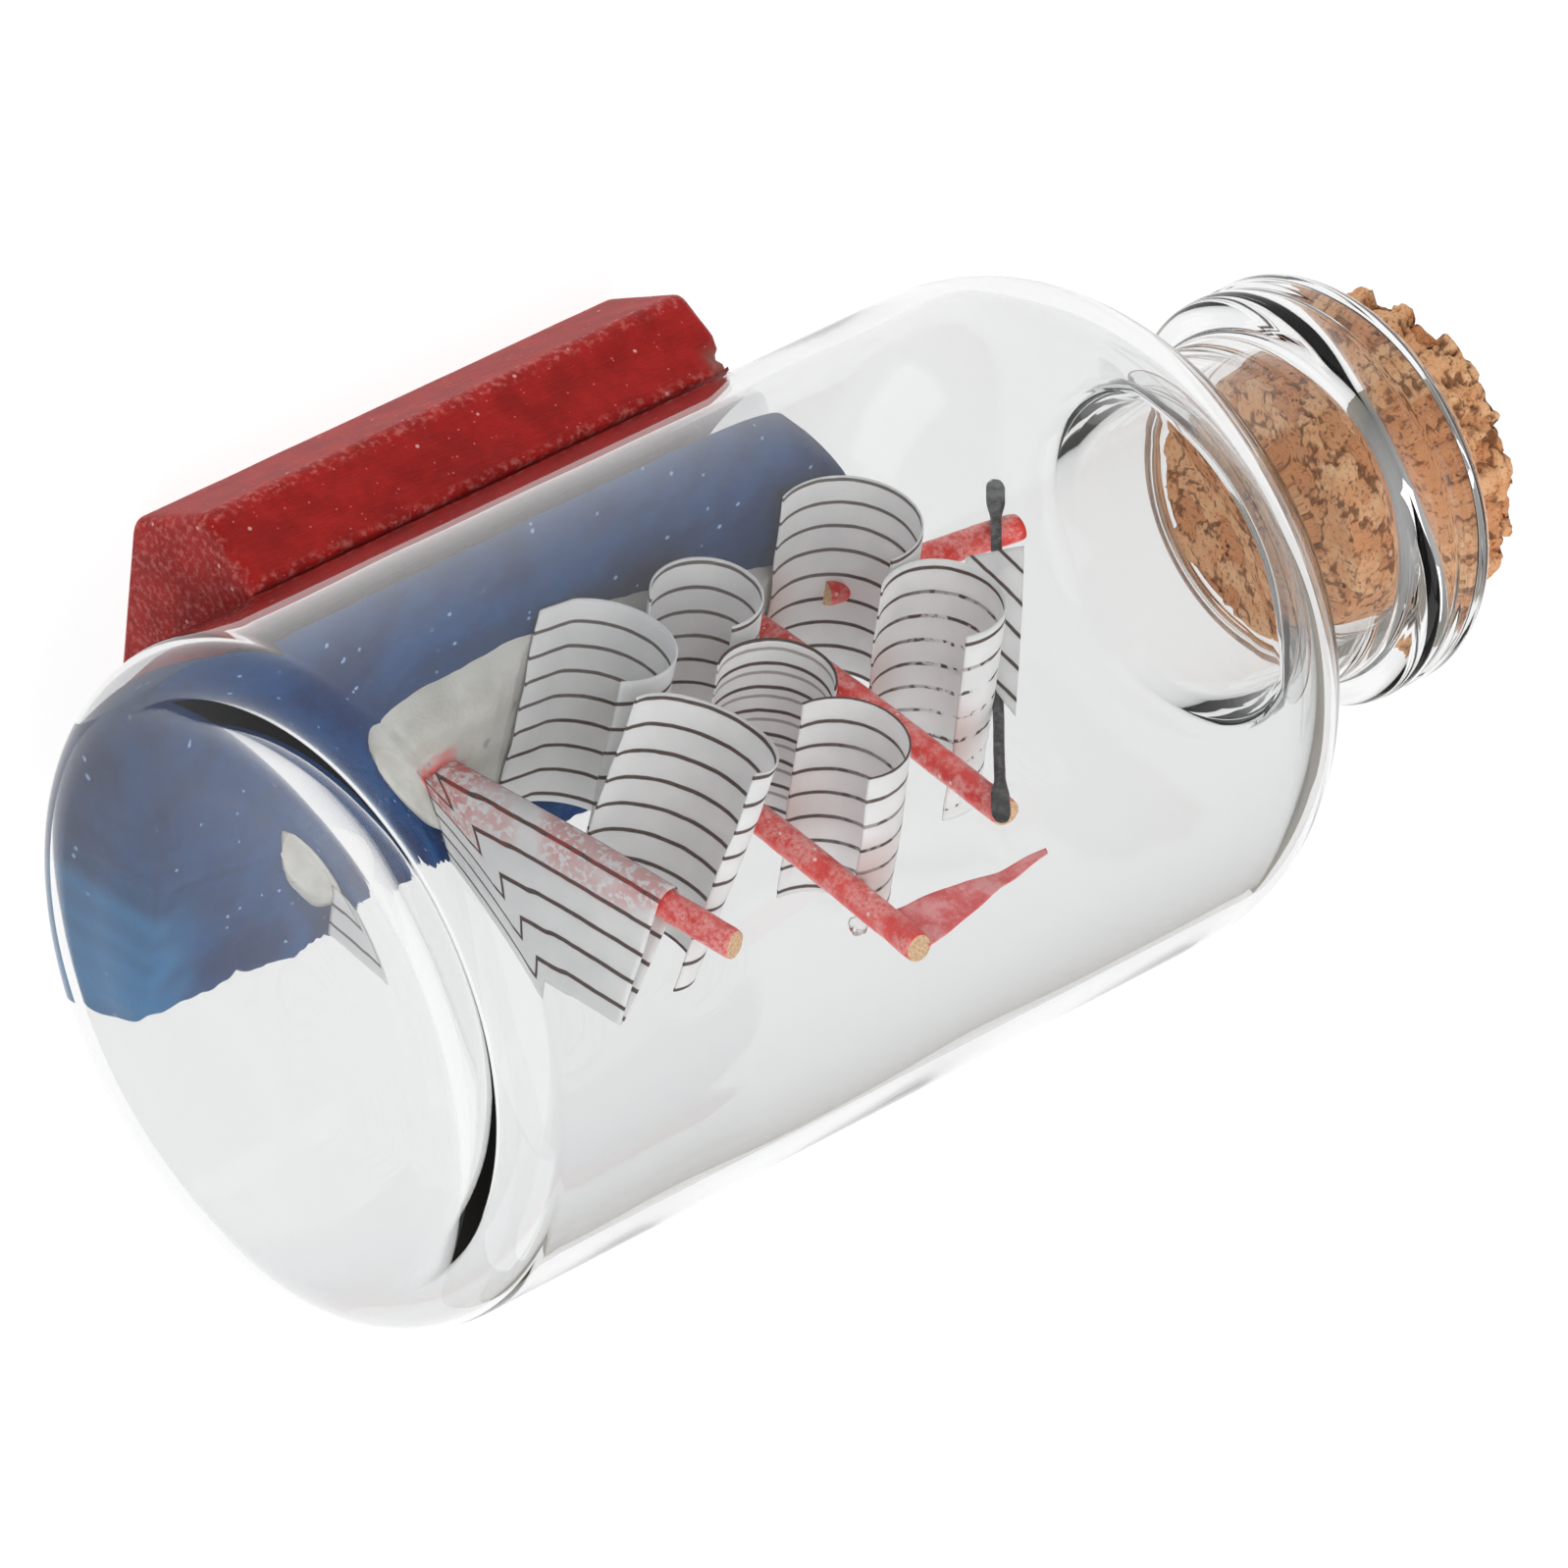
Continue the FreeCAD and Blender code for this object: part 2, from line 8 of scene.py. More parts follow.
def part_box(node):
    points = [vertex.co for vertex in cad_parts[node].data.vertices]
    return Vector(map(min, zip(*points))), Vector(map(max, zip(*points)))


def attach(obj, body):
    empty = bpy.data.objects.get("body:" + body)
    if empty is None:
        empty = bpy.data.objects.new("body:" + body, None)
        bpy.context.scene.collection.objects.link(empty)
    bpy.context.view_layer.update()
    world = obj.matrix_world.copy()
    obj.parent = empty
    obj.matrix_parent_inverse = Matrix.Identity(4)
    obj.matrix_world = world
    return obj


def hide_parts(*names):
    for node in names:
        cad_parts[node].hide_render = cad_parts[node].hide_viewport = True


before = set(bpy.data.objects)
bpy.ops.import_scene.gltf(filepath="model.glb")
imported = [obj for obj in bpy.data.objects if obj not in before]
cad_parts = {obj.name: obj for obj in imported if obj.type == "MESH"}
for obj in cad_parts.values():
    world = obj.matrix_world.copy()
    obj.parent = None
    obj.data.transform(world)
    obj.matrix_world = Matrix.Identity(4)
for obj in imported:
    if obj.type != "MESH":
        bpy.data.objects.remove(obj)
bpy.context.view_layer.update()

# A small corked bottle on a red cradle, with a paper-sailed ship on a putty sea inside.
# Lengths in this script are millimetres until at() turns them into the frame's metres.
# "Station" is the distance along the bottle from its base, "side" is across it, and
# "level" is the height above the bottle's axis.

MM = 0.001
bottle_low, bottle_high = (Vector(corner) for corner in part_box("glass_bottle"))
BASE_X = bottle_low.x
AXIS_Z = (bottle_low.z + bottle_high.z) / 2
RADIUS = (bottle_high.z - bottle_low.z) / 2 / MM
GLASS_LENGTH = (bottle_high.x - bottle_low.x) / MM


def at(station, side, level):
    """A point in the row frame, in metres."""
    return Vector((BASE_X + station * MM, side * MM, AXIS_Z + level * MM))


# ------------------------------------------------------------------ camera

CAMERA_AZIMUTH = 223.06
CAMERA_ELEVATION = 32.13
CAMERA_ROLL = 127.14
CAMERA_DISTANCE = 0.9102
CAMERA_LENS = 324.4
CAMERA_AIM = (44.53, -1.54, 1.31)


def add_camera():
    """A long lens that looks down over the bottle's base, rolled over to its left."""
    azimuth = math.radians(CAMERA_AZIMUTH)
    elevation = math.radians(CAMERA_ELEVATION)
    back = Vector((math.sin(azimuth) * math.cos(elevation),
                   -math.cos(azimuth) * math.cos(elevation),
                   math.sin(elevation)))
    data = bpy.data.cameras.new("camera")
    data.lens = CAMERA_LENS
    data.sensor_width = 36.0
    data.clip_start = 0.01
    camera = bpy.data.objects.new("camera", data)
    upright = (-back).to_track_quat("-Z", "Y").to_matrix().to_4x4()
    place = Matrix.Translation(at(*CAMERA_AIM) + back * CAMERA_DISTANCE)
    camera.matrix_world = place @ upright @ Matrix.Rotation(math.radians(CAMERA_ROLL), 4, "Z")
    bpy.context.scene.collection.objects.link(camera)
    bpy.context.scene.camera = camera


# ------------------------------------------------------------------ small tools

def smoothstep(low, high, value):
    share = min(1.0, max(0.0, (value - low) / (high - low)))
    return share * share * (3 - 2 * share)


def lerp(first, last, share):
    return first + (last - first) * share


def wobble(point, scale, seed=0.0):
    """Smooth noise from -1 to 1, with lumps about scale millimetres across."""
    return noise.noise(Vector(point) / scale + Vector((seed, seed * 1.7, -seed)))


def make_piece(name, points, faces, materials, body="bottle", replaces=()):
    """A mesh piece that rides on a body; points are in the row frame, in metres."""
    mesh = bpy.data.meshes.new(name)
    mesh.from_pydata([tuple(p) for p in points], [], faces)
    mesh.validate()
    piece = bpy.data.objects.new(name, mesh)
    bpy.context.scene.collection.objects.link(piece)
    for material in materials:
        mesh.materials.append(material)
    mesh.polygons.foreach_set("use_smooth", [True] * len(mesh.polygons))
    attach(piece, body)
    if replaces:
        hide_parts(*replaces)
    return piece


def outward(piece):
    """Make every face of a closed mesh face out, and cut faces of many corners up."""
    work = bmesh.new()
    work.from_mesh(piece.data)
    bmesh.ops.triangulate(work, faces=[face for face in work.faces if len(face.verts) > 4])
    bmesh.ops.recalc_face_normals(work, faces=work.faces)
    work.to_mesh(piece.data)
    work.free()


def give_numbers(piece, name, values):
    """Keep one number for each vertex, for the materials to read."""
    layer = piece.data.attributes.new(name, "FLOAT", "POINT")
    layer.data.foreach_set("value", values)


def ring_faces(rings, around, first=0):
    """Quads between closed rings of the same count that follow one another."""
    faces = []
    for ring in range(rings - 1):
        for step in range(around):
            after = (step + 1) % around
            low = first + ring * around
            faces.append((low + step, low + after, low + around + after, low + around + step))
    return faces


def closed_faces(rings, around):
    """The rings' quads, with a fan at each end: point 0 comes first, and the last point last."""
    faces = ring_faces(rings, around, 1)
    last = rings * around + 1
    for step in range(around):
        after = (step + 1) % around
        faces.append((0, 1 + after, 1 + step))
        faces.append((last, last - around + step, last - around + after))
    return faces


def slab_faces(rows, columns):
    """Faces of a closed sheet: a grid of points, the same grid below it, and the rim."""
    count = rows * columns
    faces = []
    for i in range(rows - 1):
        for j in range(columns - 1):
            a = i * columns + j
            faces.append((a, a + 1, a + columns + 1, a + columns))
            a += count
            faces.append((a, a + columns, a + columns + 1, a + 1))
    rim = list(range(columns))
    rim += [i * columns + columns - 1 for i in range(1, rows)]
    rim += [(rows - 1) * columns + j for j in range(columns - 2, -1, -1)]
    rim += [i * columns for i in range(rows - 2, 0, -1)]
    for k, a in enumerate(rim):
        b = rim[(k + 1) % len(rim)]
        faces.append((a, a + count, b + count, b))
    return faces


def turned(profile, around, shape):
    """Points and faces of a closed solid of revolution about the bottle's axis.

    The profile's first and last points lie on the axis; shape turns each point's
    station, radius and angle into the station and radius that it gets.
    """
    points = [at(profile[0][0], 0, 0)]
    for station, radius in profile[1:-1]:
        for step in range(around):
            angle = 2 * math.pi * step / around
            moved, out = shape(station, radius, angle)
            points.append(at(moved, out * math.sin(angle), out * math.cos(angle)))
    points.append(at(profile[-1][0], 0, 0))
    return points, closed_faces(len(profile) - 2, around)


def bow(middle, radii, start, end, steps):
    """Points on an ellipse arc about middle, from one angle to another, in degrees."""
    made = []
    for step in range(steps + 1):
        angle = math.radians(lerp(start, end, step / steps))
        made.append((middle[0] + radii[0] * math.cos(angle), middle[1] + radii[1] * math.sin(angle)))
    return made


def straight(start, end, steps):
    """Points between two points, without the first."""
    return [(lerp(start[0], end[0], k / steps), lerp(start[1], end[1], k / steps))
            for k in range(1, steps + 1)]


# ------------------------------------------------------------------ material tools

class Shader:
    """Shorthand for building one material's nodes."""

    def __init__(self, name):
        self.material = bpy.data.materials.new(name)
        self.material.use_nodes = True
        self.tree = self.material.node_tree
        self.tree.nodes.clear()
        self.place = self.put("TexCoord").outputs["Object"]

    def put(self, kind, values=(), **settings):
        node = self.tree.nodes.new("ShaderNode" + kind)
        for key, value in settings.items():
            setattr(node, key, value)
        for key, value in dict(values).items():
            if isinstance(value, bpy.types.NodeSocket):
                self.tree.links.new(value, node.inputs[key])
            else:
                node.inputs[key].default_value = value
        return node

    def stretched(self, x, y, z):
        """The object's coordinates, scaled along each axis."""
        return self.put("Mapping", {"Vector": self.place, "Scale": (x, y, z)}).outputs[0]

    def noise(self, size, detail=3.0, rough=0.55, place=None):
        """Noise with lumps about size millimetres across."""
        values = {"Vector": place or self.place, "Scale": 1 / (size * MM),
                  "Detail": detail, "Roughness": rough}
        return self.put("TexNoise", values).outputs["Fac"]

    def number(self, name):
        return self.put("Attribute", attribute_name=name).outputs["Fac"]

    def sums(self, operation, first, second=0.0, third=0.0):
        values = {0: first, 1: second, 2: third}
        return self.put("Math", values, operation=operation).outputs[0]

    def band(self, value, low, high):
        """0 below low, 1 above high, smooth between; low may be above high."""
        values = {"Value": value, "From Min": low, "From Max": high}
        return self.put("MapRange", values, interpolation_type="SMOOTHSTEP").outputs[0]

    def blend(self, share, first, second):
        values = {0: share, 6: colour(first), 7: colour(second)}
        return self.put("Mix", values, data_type="RGBA").outputs[2]

    def bump(self, height, depth, under=None):
        """Normals for a height from 0 to 1 that stands for depth millimetres."""
        values = {"Height": height, "Distance": depth * MM, "Strength": 1.0}
        if under is not None:
            values["Normal"] = under
        return self.put("Bump", values).outputs[0]

    def specks(self, size, share):
        """1 on small scattered specks, on about that share of the cells."""
        cell = self.put("TexVoronoi", {"Vector": self.place, "Scale": 1 / (size * MM)})
        chosen = self.band(self.put("SeparateColor", {0: cell.outputs["Color"]}).outputs[0],
                           1 - share, 1 - share + 0.01)
        dot = self.band(cell.outputs["Distance"], 0.3, 0.16)
        return self.sums("MULTIPLY", chosen, dot)

    def finish(self, surface):
        out = self.put("OutputMaterial")
        self.tree.links.new(surface, out.inputs["Surface"])
        return self.material

    def plain(self, values):
        """The finished material with one Principled surface."""
        return self.finish(self.put("BsdfPrincipled", values).outputs[0])


def colour(value):
    """A node's colour input: a socket as it is, or red, green, blue with alpha."""
    return value if isinstance(value, bpy.types.NodeSocket) else (*value, 1.0)


def srgb(red, green, blue):
    """The linear colour of a screen colour from 0 to 255."""
    made = []
    for value in (red / 255, green / 255, blue / 255):
        made.append(value / 12.92 if value <= 0.04045 else ((value + 0.055) / 1.055) ** 2.4)
    return tuple(made)


# ------------------------------------------------------------------ materials

def clear_glass(name, ior, tint):
    """Smooth glass; lamps shine through it so that what is inside is lit."""
    make = Shader(name)
    glass = make.put("BsdfPrincipled", {"Base Color": colour(tint), "Roughness": 0.0,
                                        "IOR": ior, "Transmission Weight": 1.0,
                                        "Specular Tint": colour((0.5, 0.5, 0.5))})
    clear = make.put("BsdfTransparent", {"Color": colour((0.97, 0.97, 0.97))})
    ray = make.put("LightPath").outputs["Is Shadow Ray"]
    both = make.put("MixShader", {0: ray, 1: glass.outputs[0], 2: clear.outputs[0]})
    return make.finish(both.outputs[0])


def cork_material():
    """Pressed cork granules: tan pieces with darker joints and bark specks."""
    make = Shader("pressed_cork")
    piece = make.number("granule")
    joint = make.number("joint")
    fine = make.noise(0.35, 5.0, 0.7)
    patch = make.noise(1.6, 3.0)
    body = make.blend(make.band(piece, 0.1, 0.9), srgb(210, 146, 102), srgb(242, 194, 148))
    body = make.blend(make.sums("MULTIPLY", make.band(patch, 0.3, 0.7), 0.7), body,
                      srgb(226, 156, 104))
    body = make.blend(make.sums("MULTIPLY", make.band(fine, 0.52, 0.66), 0.7), body,
                      srgb(128, 66, 34))
    streak = make.noise(0.5, 5.0, 0.7, make.stretched(1.0, 0.3, 1.0))
    body = make.blend(make.sums("MULTIPLY", make.band(streak, 0.56, 0.66), 0.6), body,
                      srgb(150, 84, 46))
    bark = make.sums("MULTIPLY", make.band(make.noise(0.9, 4.0, 0.65), 0.6, 0.66),
                     make.band(piece, 0.35, 0.15))
    body = make.blend(bark, body, srgb(78, 42, 24))
    body = make.blend(make.sums("MULTIPLY", make.band(joint, 0.35, 0.9), 0.75), body,
                      srgb(104, 60, 34))
    height = make.sums("ADD", make.sums("MULTIPLY", fine, 0.7), make.noise(0.12, 2.0))
    return make.plain({"Base Color": body, "Roughness": 0.78,
                       "Normal": make.bump(height, 0.12), "Specular IOR Level": 0.25})


def wood_paint():
    """Thin dull red paint over fine-grained wood, with dust and bare worn edges."""
    make = Shader("red_painted_wood")
    along = make.stretched(0.18, 1.0, 1.0)
    grain = make.noise(0.35, 5.0, 0.65, along)
    mottle = make.noise(2.4, 4.0, 0.6)
    body = make.blend(make.band(mottle, 0.3, 0.7), srgb(148, 18, 14), srgb(176, 28, 24))
    body = make.blend(make.sums("MULTIPLY", make.band(grain, 0.5, 0.7), 0.4), body,
                      srgb(140, 24, 30))
    worn = make.sums("MULTIPLY", make.number("edge"), make.band(make.noise(0.5, 3.0), 0.45, 0.7))
    body = make.blend(make.sums("MULTIPLY", worn, 0.55), body, srgb(214, 120, 112))
    body = make.blend(make.number("chip"), body, srgb(150, 92, 84))
    body = make.blend(make.specks(0.35, 0.1), body, srgb(206, 96, 96))
    body = make.blend(make.specks(0.6, 0.025), body, srgb(224, 160, 158))
    height = make.sums("ADD", grain, make.sums("MULTIPLY", make.noise(0.15, 3.0), 0.5))
    return make.plain({"Base Color": body, "Roughness": 0.5, "Normal": make.bump(height, 0.05),
                       "Specular IOR Level": 0.2})


def putty_blue():
    """Soft blue putty: patchy navy and mid blue, brighter where it was smeared, with painted shade
    beside the hull.
    """
    make = Shader("blue_putty")
    patch = make.noise(7.0, 4.0, 0.55)
    streak = make.noise(1.3, 4.0, 0.6, make.stretched(0.35, 1.0, 1.0))
    body = make.blend(make.band(patch, 0.35, 0.68), srgb(6, 40, 90), srgb(16, 68, 122))
    body = make.blend(make.sums("MULTIPLY", make.band(streak, 0.55, 0.72), 0.5), body,
                      srgb(20, 52, 88))
    body = make.blend(make.number("smear"), body, srgb(44, 128, 184))
    # painted shade: darker navy on the putty close to the hull's sides, where the hull shades it
    body = make.blend(make.number("painted_hull_shade"), body, srgb(10, 28, 60))
    body = make.blend(make.specks(0.7, 0.07), body, srgb(140, 170, 210))
    height = make.sums("ADD", make.noise(0.8, 5.0, 0.6), make.sums("MULTIPLY", streak, 1.4))
    return make.plain({"Base Color": body, "Roughness": 0.6, "Normal": make.bump(height, 0.12),
                       "Specular IOR Level": 0.15})


def putty_white():
    """White putty, smoothed by hand and slightly glossy, greyer in random patches."""
    make = Shader("white_putty")
    patch = make.noise(4.5, 3.0)
    body = make.blend(make.band(patch, 0.3, 0.7), srgb(178, 176, 168), srgb(206, 205, 200))
    body = make.blend(make.sums("MULTIPLY", make.number("paint"), 0.9), body, srgb(206, 44, 42))
    body = make.blend(make.specks(1.7, 0.1), body, srgb(150, 148, 144))
    height = make.sums("ADD", make.noise(1.4, 4.0), make.sums("MULTIPLY", make.noise(0.3, 3.0), 0.3))
    return make.plain({"Base Color": body, "Roughness": 0.3, "Normal": make.bump(height, 0.14),
                       "Coat Weight": 0.25, "Coat Roughness": 0.2})


def stick_paint():
    """Glossy red paint on a round stick, dusted pale in patches."""
    make = Shader("red_stick_paint")
    patch = make.noise(1.6, 5.0, 0.68)
    dust = make.noise(0.28, 4.0, 0.7)
    body = make.blend(make.band(make.noise(3.5, 2.0), 0.3, 0.7), srgb(222, 30, 26),
                      srgb(242, 68, 60))
    pale = make.sums("MULTIPLY", make.band(patch, 0.40, 0.6), make.band(dust, 0.3, 0.58))
    body = make.blend(make.sums("MULTIPLY", pale, 0.75), body, srgb(252, 176, 170))
    body = make.blend(make.specks(0.55, 0.14), body, srgb(250, 214, 210))
    height = make.sums("ADD", patch, make.sums("MULTIPLY", dust, 0.4))
    return make.plain({"Base Color": body, "Roughness": 0.3, "Normal": make.bump(height, 0.09),
                       "Coat Weight": 0.35, "Coat Roughness": 0.15})


def cut_wood():
    """Bare end grain of a toothpick."""
    make = Shader("cut_stick_end")
    pores = make.noise(0.16, 4.0, 0.7)
    body = make.blend(make.band(pores, 0.4, 0.65), srgb(242, 208, 168), srgb(204, 148, 104))
    return make.plain({"Base Color": body, "Roughness": 0.75, "Normal": make.bump(pores, 0.08)})


STRIPE_SPACING = 1.95
STRIPE_WIDTH = 0.27


def ruled_paper(name, ghost=False):
    """White paper ruled with dark brown lines, stained with red paint where it meets the red sticks, and
    with painted pink bounce light from the red sticks on the paper near them.
    """
    make = Shader(name)
    across = make.number("across")
    fibre = make.noise(0.25, 5.0, 0.7)
    cloud = make.noise(2.2, 3.0)
    waver = make.sums("MULTIPLY", make.sums("SUBTRACT", make.noise(1.6, 2.0), 0.5), 0.16)

    def lines(shift, width):
        place = make.sums("ADD", make.sums("ADD", across, waver), shift)
        turn = make.sums("FRACT", make.sums("DIVIDE", place, STRIPE_SPACING))
        off = make.sums("ABSOLUTE", make.sums("SUBTRACT", turn, 0.5))
        half = width / STRIPE_SPACING / 2
        return make.band(off, half * 1.35, half * 0.75)

    body = make.blend(make.band(cloud, 0.3, 0.7), srgb(246, 247, 247), srgb(253, 253, 253))
    body = make.blend(make.sums("MULTIPLY", make.band(fibre, 0.55, 0.75), 0.22), body,
                      srgb(206, 207, 208))
    # painted light: a pink tint near the masts stands in for red light bounced from the painted sticks
    body = make.blend(make.sums("MULTIPLY", make.number("painted_red_bounce"), 0.5), body, srgb(206, 150, 130))
    ink = make.blend(make.band(fibre, 0.3, 0.6), srgb(58, 40, 36), srgb(92, 66, 58))
    if ghost:
        body = make.blend(make.sums("MULTIPLY", lines(0.75, 0.24), 0.6), body, srgb(128, 108, 100))
    faded = make.sums("MULTIPLY", make.number("wear"), make.band(make.noise(0.7, 3.0), 0.42, 0.52))
    line = make.sums("MULTIPLY", lines(0.0, STRIPE_WIDTH), make.sums("SUBTRACT", 1.0, faded))
    body = make.blend(make.sums("MULTIPLY", line, 0.94), body, ink)
    stain = make.sums("MULTIPLY", make.number("paint"), make.band(make.noise(0.5, 4.0), 0.4, 0.52))
    body = make.blend(make.sums("MULTIPLY", stain, 0.85), body, srgb(222, 70, 66))
    face = make.put("BsdfPrincipled", {"Base Color": body, "Roughness": 0.62,
                                       "Normal": make.bump(fibre, 0.03),
                                       "Specular IOR Level": 0.3}).outputs[0]
    glow = make.put("BsdfTranslucent", {"Color": body}).outputs[0]
    return make.finish(make.put("MixShader", {0: 0.32, 1: face, 2: glow}).outputs[0])


def pennant_paper():
    """Stiff paper painted the same red as the sticks, paler where the paint is thin."""
    make = Shader("red_painted_paper")
    fibre = make.noise(0.3, 5.0, 0.7)
    body = make.blend(make.band(make.noise(1.8, 4.0, 0.65), 0.4, 0.66), srgb(240, 96, 98),
                      srgb(250, 164, 164))
    body = make.blend(make.sums("MULTIPLY", make.band(fibre, 0.52, 0.7), 0.5), body,
                      srgb(254, 206, 204))
    return make.plain({"Base Color": body, "Roughness": 0.5, "Normal": make.bump(fibre, 0.05)})


def stay_black():
    """Dull black, scuffed grey along its length."""
    make = Shader("scuffed_black")
    scuff = make.noise(0.9, 5.0, 0.7)
    fine = make.noise(0.2, 3.0)
    body = make.blend(make.band(scuff, 0.42, 0.66), srgb(34, 34, 36), srgb(96, 96, 98))
    body = make.blend(make.specks(0.6, 0.12), body, srgb(196, 196, 196))
    return make.plain({"Base Color": body, "Roughness": 0.38, "Normal": make.bump(fine, 0.06)})


def pale_floor():
    make = Shader("pale_floor")
    body = make.blend(make.noise(60.0, 2.0), (0.15, 0.15, 0.15), (0.17, 0.17, 0.17))
    return make.plain({"Base Color": body, "Roughness": 0.8, "Specular IOR Level": 0.1,
                       "Emission Color": colour((1.0, 1.0, 1.0)), "Emission Strength": 0.93})


# ------------------------------------------------------------------ bottle

WALL = 1.4
FLOOR = 3.0
FLOOR_DOME = 1.4
INNER_HEEL = 2.6
HEEL = 5.5
BASE_RING = 16.0
PUNT = 1.8
SHOULDER = 68.5
SHOULDER_LENGTH = 12.0
SHOULDER_DROP = 15.2
NECK = 12.3
BORE = 10.35
NECK_FILLET = 0.9
FUNNEL = 5.0
LIP_START = 89.8
LIP = 14.6
INNER = RADIUS - WALL


def bottle_profile():
    """Outer wall from the middle of the base to the mouth, then the inner wall back."""
    end = GLASS_LENGTH
    middle = RADIUS - SHOULDER_DROP
    outer_stop = 90 - math.degrees(math.acos((NECK + NECK_FILLET * 0.6 - middle) / SHOULDER_DROP))
    inner_drop = SHOULDER_DROP - WALL
    profile = [(PUNT * (1 - (r / BASE_RING) ** 2), r) for r in (0, 2, 4, 6, 8, 10, 12, 14, 15, 16)]
    profile += straight((0, BASE_RING), (0, RADIUS - HEEL), 2)
    profile += bow((HEEL, RADIUS - HEEL), (HEEL, HEEL), 180, 90, 18)[1:]
    profile += straight((HEEL, RADIUS), (SHOULDER, RADIUS), 36)
    profile += bow((SHOULDER, middle), (SHOULDER_LENGTH, SHOULDER_DROP), 90, outer_stop, 26)[1:]
    foot = profile[-1][0]
    profile += [(foot + 0.12, NECK + 0.28), (foot + 0.4, NECK + 0.08), (foot + 0.9, NECK)]
    profile += straight((foot + 0.9, NECK), (LIP_START - 0.9, NECK), 6)
    profile += bow((LIP_START - 0.9, NECK + 0.9), (0.9, 0.9), -90, 0, 6)[1:]
    bead = (end - LIP_START) / 4
    profile += bow((LIP_START + bead, LIP - bead), (bead, bead), 180, 90, 8)[1:]
    profile += [(LIP_START + (1.2 + 0.1 * k) * bead, LIP - 0.13 * (1 - math.cos(math.pi * k / 5)))
                for k in range(1, 11)]
    profile += straight((LIP_START + 2.2 * bead, LIP), (end - bead, LIP + 0.02), 3)
    profile += bow((end - bead, LIP - bead), (bead, bead), 90, 0, 8)[1:]
    profile += straight((end, LIP - bead), (end, BORE + 0.6), 3)
    profile += bow((end - 0.6, BORE + 0.6), (0.6, 0.6), 0, -90, 6)[1:]
    inner_stop = 90 - math.degrees(math.acos((BORE + 2.0 - middle) / inner_drop))
    inner_foot = bow((SHOULDER, middle), (SHOULDER_LENGTH - WALL, inner_drop), inner_stop, 90, 26)
    station = inner_foot[0][0]
    mouth = Vector((station + FUNNEL, BORE))
    throat = Vector(inner_foot[0])
    slope = (Vector(inner_foot[0]) - Vector(inner_foot[1])).normalized()
    profile += straight((end - 0.6, BORE), tuple(mouth), 8)
    for step in range(1, 20):
        share = step / 20
        ahead = mouth.lerp(Vector((mouth.x - FUNNEL * 0.7, BORE)), share)
        back = (throat + slope * FUNNEL * 0.3).lerp(throat, share)
        profile.append(tuple(ahead.lerp(back, share)))
    profile += inner_foot
    profile += straight((SHOULDER, INNER), (FLOOR + INNER_HEEL, INNER), 36)
    profile += bow((FLOOR + INNER_HEEL, INNER - INNER_HEEL), (INNER_HEEL, INNER_HEEL), 90, 180, 18)[1:]
    low = INNER - INNER_HEEL
    profile += [(FLOOR + FLOOR_DOME * (1 - (r / low) ** 2), r) for r in (14, 12, 10, 8, 6, 4, 2, 0)]
    return profile


def make_bottle(glass):
    """Pressed glass: true outside, slightly uneven in thickness inside."""
    def uneven(station, radius, angle):
        inside = radius < INNER + 0.01 and FLOOR - 0.1 < station < 90
        if not inside:
            return station, radius
        spot = (station * 0.5, 9 * math.sin(angle), 9 * math.cos(angle))
        share = smoothstep(0, 8, radius)
        return station + 0.05 * share * wobble(spot, 5, 3), radius + 0.05 * wobble(spot, 6) - 0.02

    points, faces = turned(bottle_profile(), 192, uneven)
    piece = make_piece("bottle_glass", points, faces, [glass],
                       replaces=["glass_bottle"])
    outward(piece)
    return piece


# ------------------------------------------------------------------ cork

CORK_START = 87.8
CORK_END = (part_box("cork_stopper")[1][0] - BASE_X) / MM
CORK_SMALL = 8.9
CORK_MOUTH = 10.2
GRANULE = 2.3


def make_cork(material):
    """Tapered plug of pressed granules, torn and ragged where it stands proud."""
    around, along = 260, 90
    taper = (CORK_MOUTH - CORK_SMALL) / (GLASS_LENGTH - CORK_START)
    rows = [(CORK_START, CORK_SMALL * k / 34) for k in range(34)]
    rows += [(lerp(CORK_START + 0.3, CORK_END - 0.5, k / along), None) for k in range(along + 1)]
    rows += [(CORK_END, 10.2 * (1 - k / 36)) for k in range(37)]
    profile = []
    for station, radius in rows:
        profile.append((station, CORK_SMALL + taper * (station - CORK_START)
                        if radius is None else radius))
    granule, joint = [0.5], [0.0]

    def ragged(station, radius, angle):
        spot = Vector((station, radius * math.sin(angle), radius * math.cos(angle)))
        warp = Vector([wobble(spot, 1.3, 70 + n) + 0.5 * wobble(spot, 0.5, 80 + n)
                       for n in range(3)])
        near, places = noise.voronoi((spot + warp * 0.9) / GRANULE)
        seam = 1 - smoothstep(0.0, 0.16, near[1] - near[0])
        pick = noise.cell(places[0] * 7.31) * 0.5 + 0.5
        granule.append(pick)
        joint.append(seam)
        proud = smoothstep(GLASS_LENGTH - 0.4, GLASS_LENGTH + 0.9, station)
        inside = 1 - smoothstep(CORK_START, CORK_START + 1.2, station)
        loose = 0.22 + 1.15 * proud + 0.5 * inside
        lump = (pick - 0.62) * loose - 0.22 * seam * (0.5 + proud)
        lump += 0.12 * wobble(spot, 0.7, 5) * (0.4 + proud)
        if station > CORK_END - 0.3:
            return station + min(0.0, lump * 0.9) - 0.1, radius
        if station < CORK_START + 0.1:
            return station + 0.15 + 0.3 * abs(lump), radius
        limit = BORE - 0.08 if station < GLASS_LENGTH + 0.1 else radius + 0.55
        return station, min(limit, radius + lump)

    points, faces = turned(profile, around, ragged)
    granule.append(0.5)
    joint.append(0.0)
    piece = make_piece("cork_plug", points, faces, [material], body="cork",
                       replaces=["cork_stopper"])
    give_numbers(piece, "granule", granule)
    give_numbers(piece, "joint", joint)
    outward(piece)
    return piece


# ------------------------------------------------------------------ cradle

